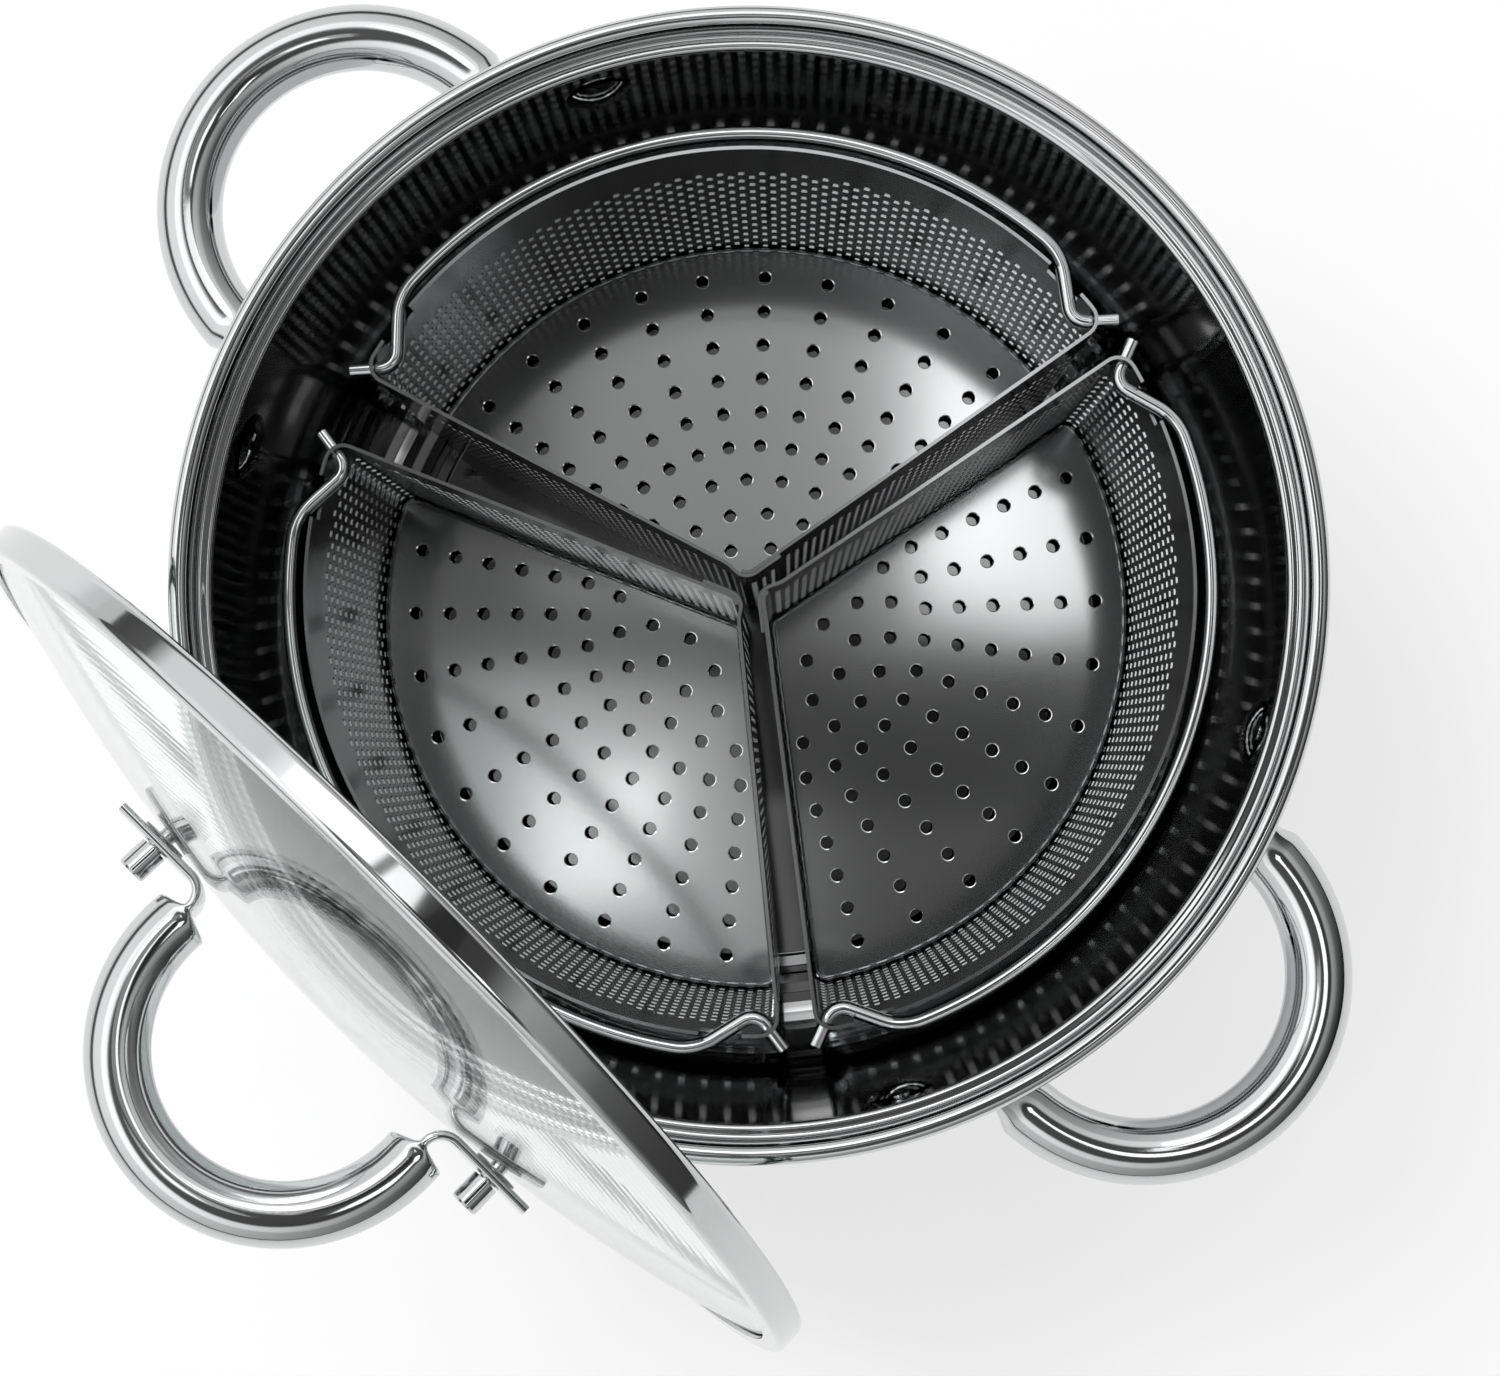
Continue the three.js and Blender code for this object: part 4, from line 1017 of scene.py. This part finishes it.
past = math.radians(LID_ARC_PAST)
foot_x = (LID_ARC_RADIUS + LID_FOOT_BEND) * math.cos(past) - LID_NECK * math.sin(past) + LID_TAB_LENGTH / 2
spacer_top = glass_height(foot_x, 0) + LID_FIT + SPACER_THICKNESS
tab_middle = spacer_top + LID_FIT + LID_TAB_HALF_THICKNESS
foot_section = (LID_TAB_HALF_THICKNESS, LID_TAB_HALF_WIDTH, TAB_SQUARENESS)
lid_tube_section = (LID_TUBE_RADIUS, LID_TUBE_RADIUS, 1)
foot_turn = 90 + LID_ARC_PAST
foot_run = {"run": LID_TAB_LENGTH, "steps": 4, "section": foot_section}
foot_bend = {"bend": foot_turn, "radius": LID_FOOT_BEND, "steps": 10, "section": foot_section}
lid_handle_route = route(
    (-foot_x - LID_TAB_LENGTH / 2, 0, *foot_section),
    0,
    [
        foot_run,
        foot_bend,
        {"run": LID_NECK, "steps": 4, "section": lid_tube_section},
        {"bend": -2 * foot_turn, "radius": LID_ARC_RADIUS, "steps": 64, "section": lid_tube_section},
        {"run": LID_NECK, "steps": 4, "section": foot_section},
        foot_bend,
        foot_run,
    ],
)
handle_upright = Matrix.Translation((0, 0, tab_middle * MM)) @ Matrix.Rotation(math.pi / 2, 4, "X")
set_down(
    "lid_tube_handle", *swept(lid_handle_route, TUBE_SIDES, LID_TUBE_WALL), polished_steel,
    "lid", "polished_steel", ["lid_handle"], lid_matrix @ handle_upright, TUBE_CREASE,
)

# Lid fastenings: at each foot a screw comes up through the glass from inside, with a clear silicone
# washer on each side of the glass, and a slim barrel nut clamps the foot from outside.
SPACER_RADIUS = 5.5
SEAL_THICKNESS = 2.2
SEAL_RADIUS = 6.5
SCREW_RADIUS = 2
SCREW_HEAD_RADIUS = 5
SCREW_HEAD_HEIGHT = 2
NUT_RADIUS = 3.4
NUT_HEIGHT = 7
NUT_ROOF = 1.5
NUT_EDGE = 0.5
BORE_RADIUS = 2.4
FASTENING_SEGMENTS = 40


def washer(radius, low, high):
    """The profile of a ring round the screw."""
    corners = [(BORE_RADIUS, low), (radius, low), (radius, high), (BORE_RADIUS, high)]
    return [*corners, corners[0]]


silicone = finish_of("clear silicone", (0.78, 0.8, 0.79), Roughness=0.35, Transmission_Weight=0.6)
spacer_foot = glass_height(foot_x - SPACER_RADIUS, 0) + LID_FIT
seal_top = glass_height(foot_x + SEAL_RADIUS, -GLASS_THICKNESS) - LID_FIT
seal_low = glass_height(foot_x, -GLASS_THICKNESS) - LID_FIT - SEAL_THICKNESS
head_top = seal_low - LID_FIT
nut_low = tab_middle + LID_TAB_HALF_THICKNESS + LID_FIT
nut_high = nut_low + NUT_HEIGHT
screw_tip = nut_high - NUT_ROOF - 2 * LID_FIT
screw_head = dome(SCREW_HEAD_RADIUS, SCREW_HEAD_HEIGHT, 8)
screw_profile = [
    *[(out, head_top - SCREW_HEAD_HEIGHT + deep) for out, deep in screw_head],
    (SCREW_RADIUS, head_top),
    (SCREW_RADIUS, screw_tip),
    (0, screw_tip),
]
nut_profile = [
    (BORE_RADIUS, nut_low),
    (NUT_RADIUS, nut_low),
    (NUT_RADIUS, nut_high - NUT_EDGE),
    (NUT_RADIUS - NUT_EDGE, nut_high),
    (0, nut_high),
    (0, nut_high - NUT_ROOF),
    (BORE_RADIUS, nut_high - NUT_ROOF),
    (BORE_RADIUS, nut_low),
]
fastenings = {
    "spacer": (washer(SPACER_RADIUS, spacer_foot, spacer_top), silicone, "silicone"),
    "seal": (washer(SEAL_RADIUS, seal_low, seal_top), silicone, "silicone"),
    "screw": (screw_profile, satin_steel, "satin_steel"),
    "nut": (nut_profile, polished_steel, "polished_steel"),
}
for side, x in (("left", -foot_x), ("right", foot_x)):
    foot_place = lid_matrix @ Matrix.Translation((x * MM, 0, 0))
    for kind, (profile, material, slot) in fastenings.items():
        set_down(
            f"lid_foot_{kind}_{side}", *turned(profile, FASTENING_SEGMENTS), material,
            "lid", slot, [f"lid_{kind}_{side}"], foot_place,
        )

# Table and light: a wide white table with a low screen round it, in a room that is lighter on the
# left. Soft lights hang over the lens, whose body shows as a dark patch in the steel.
TABLE_HALF = 12
SCREEN_HEIGHT = 1.2
TABLE_GLOW = 0.65
LENS_CARD_HALF = (0.085, 0.045)
LENS_CARD_SHIFT = (0.07, 0.03)
LENS_CARD_HEIGHT = 0.72
ROOM_LEVELS = (
    (0, 0.05), (0.16, 0.08), (0.25, 0.6), (0.65, 0.7), (0.72, 1.1), (0.86, 1.1), (0.91, 0.1), (1, 0.1),
)
ROOM_SLANT = (-0.95, 0.25)
ROOM_DARK_SHIFT = (0.08, -0.08)
SOFT_LIGHTS = {
    "upper_light": {"size": (0.44, 0.28), "shift": (-0.02, 0.31), "height": 1.54, "level": 0.26},
    "middle_light": {"size": (0.36, 0.3), "shift": (-0.18, -0.06), "height": 1.54, "level": 0.45},
    "back_light": {"size": (0.6, 0.5), "shift": (-0.05, 0.72), "height": 1.5, "level": 1.4},
    "right_light": {"size": (0.2, 0.3), "shift": (0.2, 0.27), "height": 1.5, "level": 1.5},
    "corner_light": {"size": (0.32, 0.28), "shift": (0.43, -0.22), "height": 1.5, "level": 1.8},
    "left_light": {"size": (0.15, 0.15), "shift": (-0.19, -0.07), "height": 1.5, "level": 1.3},
}
KEY_SIZE = 0.9
KEY_SHIFT = (-0.9, 0.7)
KEY_HEIGHT = 1.5
KEY_WATTS = 22


def lit_backdrop(name, colour, share):
    """A plain surface that the camera, metal and glass see as white, and that still takes shadow."""
    material = bpy.data.materials.new(name)
    material.use_nodes = True
    nodes, links = material.node_tree.nodes, material.node_tree.links
    nodes.clear()
    matt = nodes.new("ShaderNodeBsdfDiffuse")
    matt.inputs["Color"].default_value = (*colour, 1)
    glow = nodes.new("ShaderNodeEmission")
    glow.inputs["Color"].default_value = (1, 1, 1, 1)
    rays = nodes.new("ShaderNodeLightPath")
    seen = rays.outputs["Is Camera Ray"]
    for other in ("Is Glossy Ray", "Is Transmission Ray"):
        either = nodes.new("ShaderNodeMath")
        either.operation = "MAXIMUM"
        links.new(seen, either.inputs[0])
        links.new(rays.outputs[other], either.inputs[1])
        seen = either.outputs[0]
    amount = nodes.new("ShaderNodeMath")
    amount.operation = "MULTIPLY"
    amount.inputs[1].default_value = share
    links.new(seen, amount.inputs[0])
    mix = nodes.new("ShaderNodeMixShader")
    links.new(amount.outputs[0], mix.inputs["Fac"])
    links.new(matt.outputs[0], mix.inputs[1])
    links.new(glow.outputs[0], mix.inputs[2])
    links.new(mix.outputs[0], nodes.new("ShaderNodeOutputMaterial").inputs["Surface"])
    return material


def over_lens(height, shift):
    """A place over the lens, shifted to the right and upwards as the camera sees it."""
    return Vector((CAMERA_PLACE.x, CAMERA_PLACE.y, height)) + image_right * shift[0] + image_up * shift[1]


def backdrop(name, vertices, faces, material):
    """A surface that isn't part of the object, from points in metres."""
    mesh = bpy.data.meshes.new(name)
    mesh.from_pydata(vertices, [], faces)
    mesh.materials.append(material)
    surface = in_scene(name, mesh)
    return surface


black_card = finish_of("black card", (0.02, 0.02, 0.02), Roughness=0.9)
square = ((-1, -1), (1, -1), (1, 1), (-1, 1))
table_corners = [(x * TABLE_HALF, y * TABLE_HALF, z) for z in (0, SCREEN_HEIGHT) for x, y in square]
table_faces = [(0, 1, 2, 3), (1, 0, 4, 5), (2, 1, 5, 6), (3, 2, 6, 7), (0, 3, 7, 4)]
backdrop("table", table_corners, table_faces, lit_backdrop("white table", (0.9, 0.9, 0.9), TABLE_GLOW))
lens_middle = over_lens(LENS_CARD_HEIGHT, LENS_CARD_SHIFT)
card_right, card_up = image_right * LENS_CARD_HALF[0], image_up * LENS_CARD_HALF[1]
card_corners = [lens_middle + card_right * x + card_up * y for x, y in square]
lens_card = backdrop("lens_card", card_corners, [(0, 1, 2, 3)], black_card)
lens_card.visible_camera = False
lens_card.visible_diffuse = False

world = bpy.data.worlds.new("dim room")
world.use_nodes = True
room_nodes, room_links = world.node_tree.nodes, world.node_tree.links
room_way = room_nodes.new("ShaderNodeTexCoord")


def room_along(direction):
    """How far the room lies along a direction, from -1 to 1."""
    along = room_nodes.new("ShaderNodeVectorMath")
    along.operation = "DOT_PRODUCT"
    along.inputs[1].default_value = direction
    room_links.new(room_way.outputs["Generated"], along.inputs[0])
    return along.outputs["Value"]


room_top = Vector((0, 0, 1)) + image_right * ROOM_DARK_SHIFT[0] + image_up * ROOM_DARK_SHIFT[1]
room_ramp = room_nodes.new("ShaderNodeValToRGB")
room_links.new(room_along(room_top.normalized()), room_ramp.inputs["Fac"])
room_links.new(room_ramp.outputs["Color"], room_nodes["Background"].inputs["Color"])
room_strength = room_nodes.new("ShaderNodeMath")
room_strength.inputs[1].default_value = 1
room_slant = image_right * ROOM_SLANT[0] + image_up * ROOM_SLANT[1]
room_links.new(room_along(room_slant), room_strength.inputs[0])
room_links.new(room_strength.outputs[0], room_nodes["Background"].inputs["Strength"])
stops = room_ramp.color_ramp.elements
while len(stops) < len(ROOM_LEVELS):
    stops.new(1)
for stop, (height, level) in zip(stops, ROOM_LEVELS):
    stop.position = height
    stop.color = (level, level, level, 1)
bpy.context.scene.world = world
for name, light in SOFT_LIGHTS.items():
    lamp = in_scene(name, bpy.data.lights.new(name, "AREA"))
    lamp.data.shape = "RECTANGLE"
    lamp.data.size, lamp.data.size_y = light["size"]
    lamp.data.energy = light["level"] * math.pi * lamp.data.size * lamp.data.size_y
    lamp.location = over_lens(light["height"], light["shift"])
    lamp.rotation_euler = (0, 0, image_roll)
key_light = in_scene("key_light", bpy.data.lights.new("key_light", "AREA"))
key_light.data.size = KEY_SIZE
key_light.data.energy = KEY_WATTS
key_light.location = image_right * KEY_SHIFT[0] + image_up * KEY_SHIFT[1] + Vector((0, 0, KEY_HEIGHT))
key_light.rotation_euler = key_light.location.to_track_quat("Z", "Y").to_euler()
key_light.visible_glossy = False
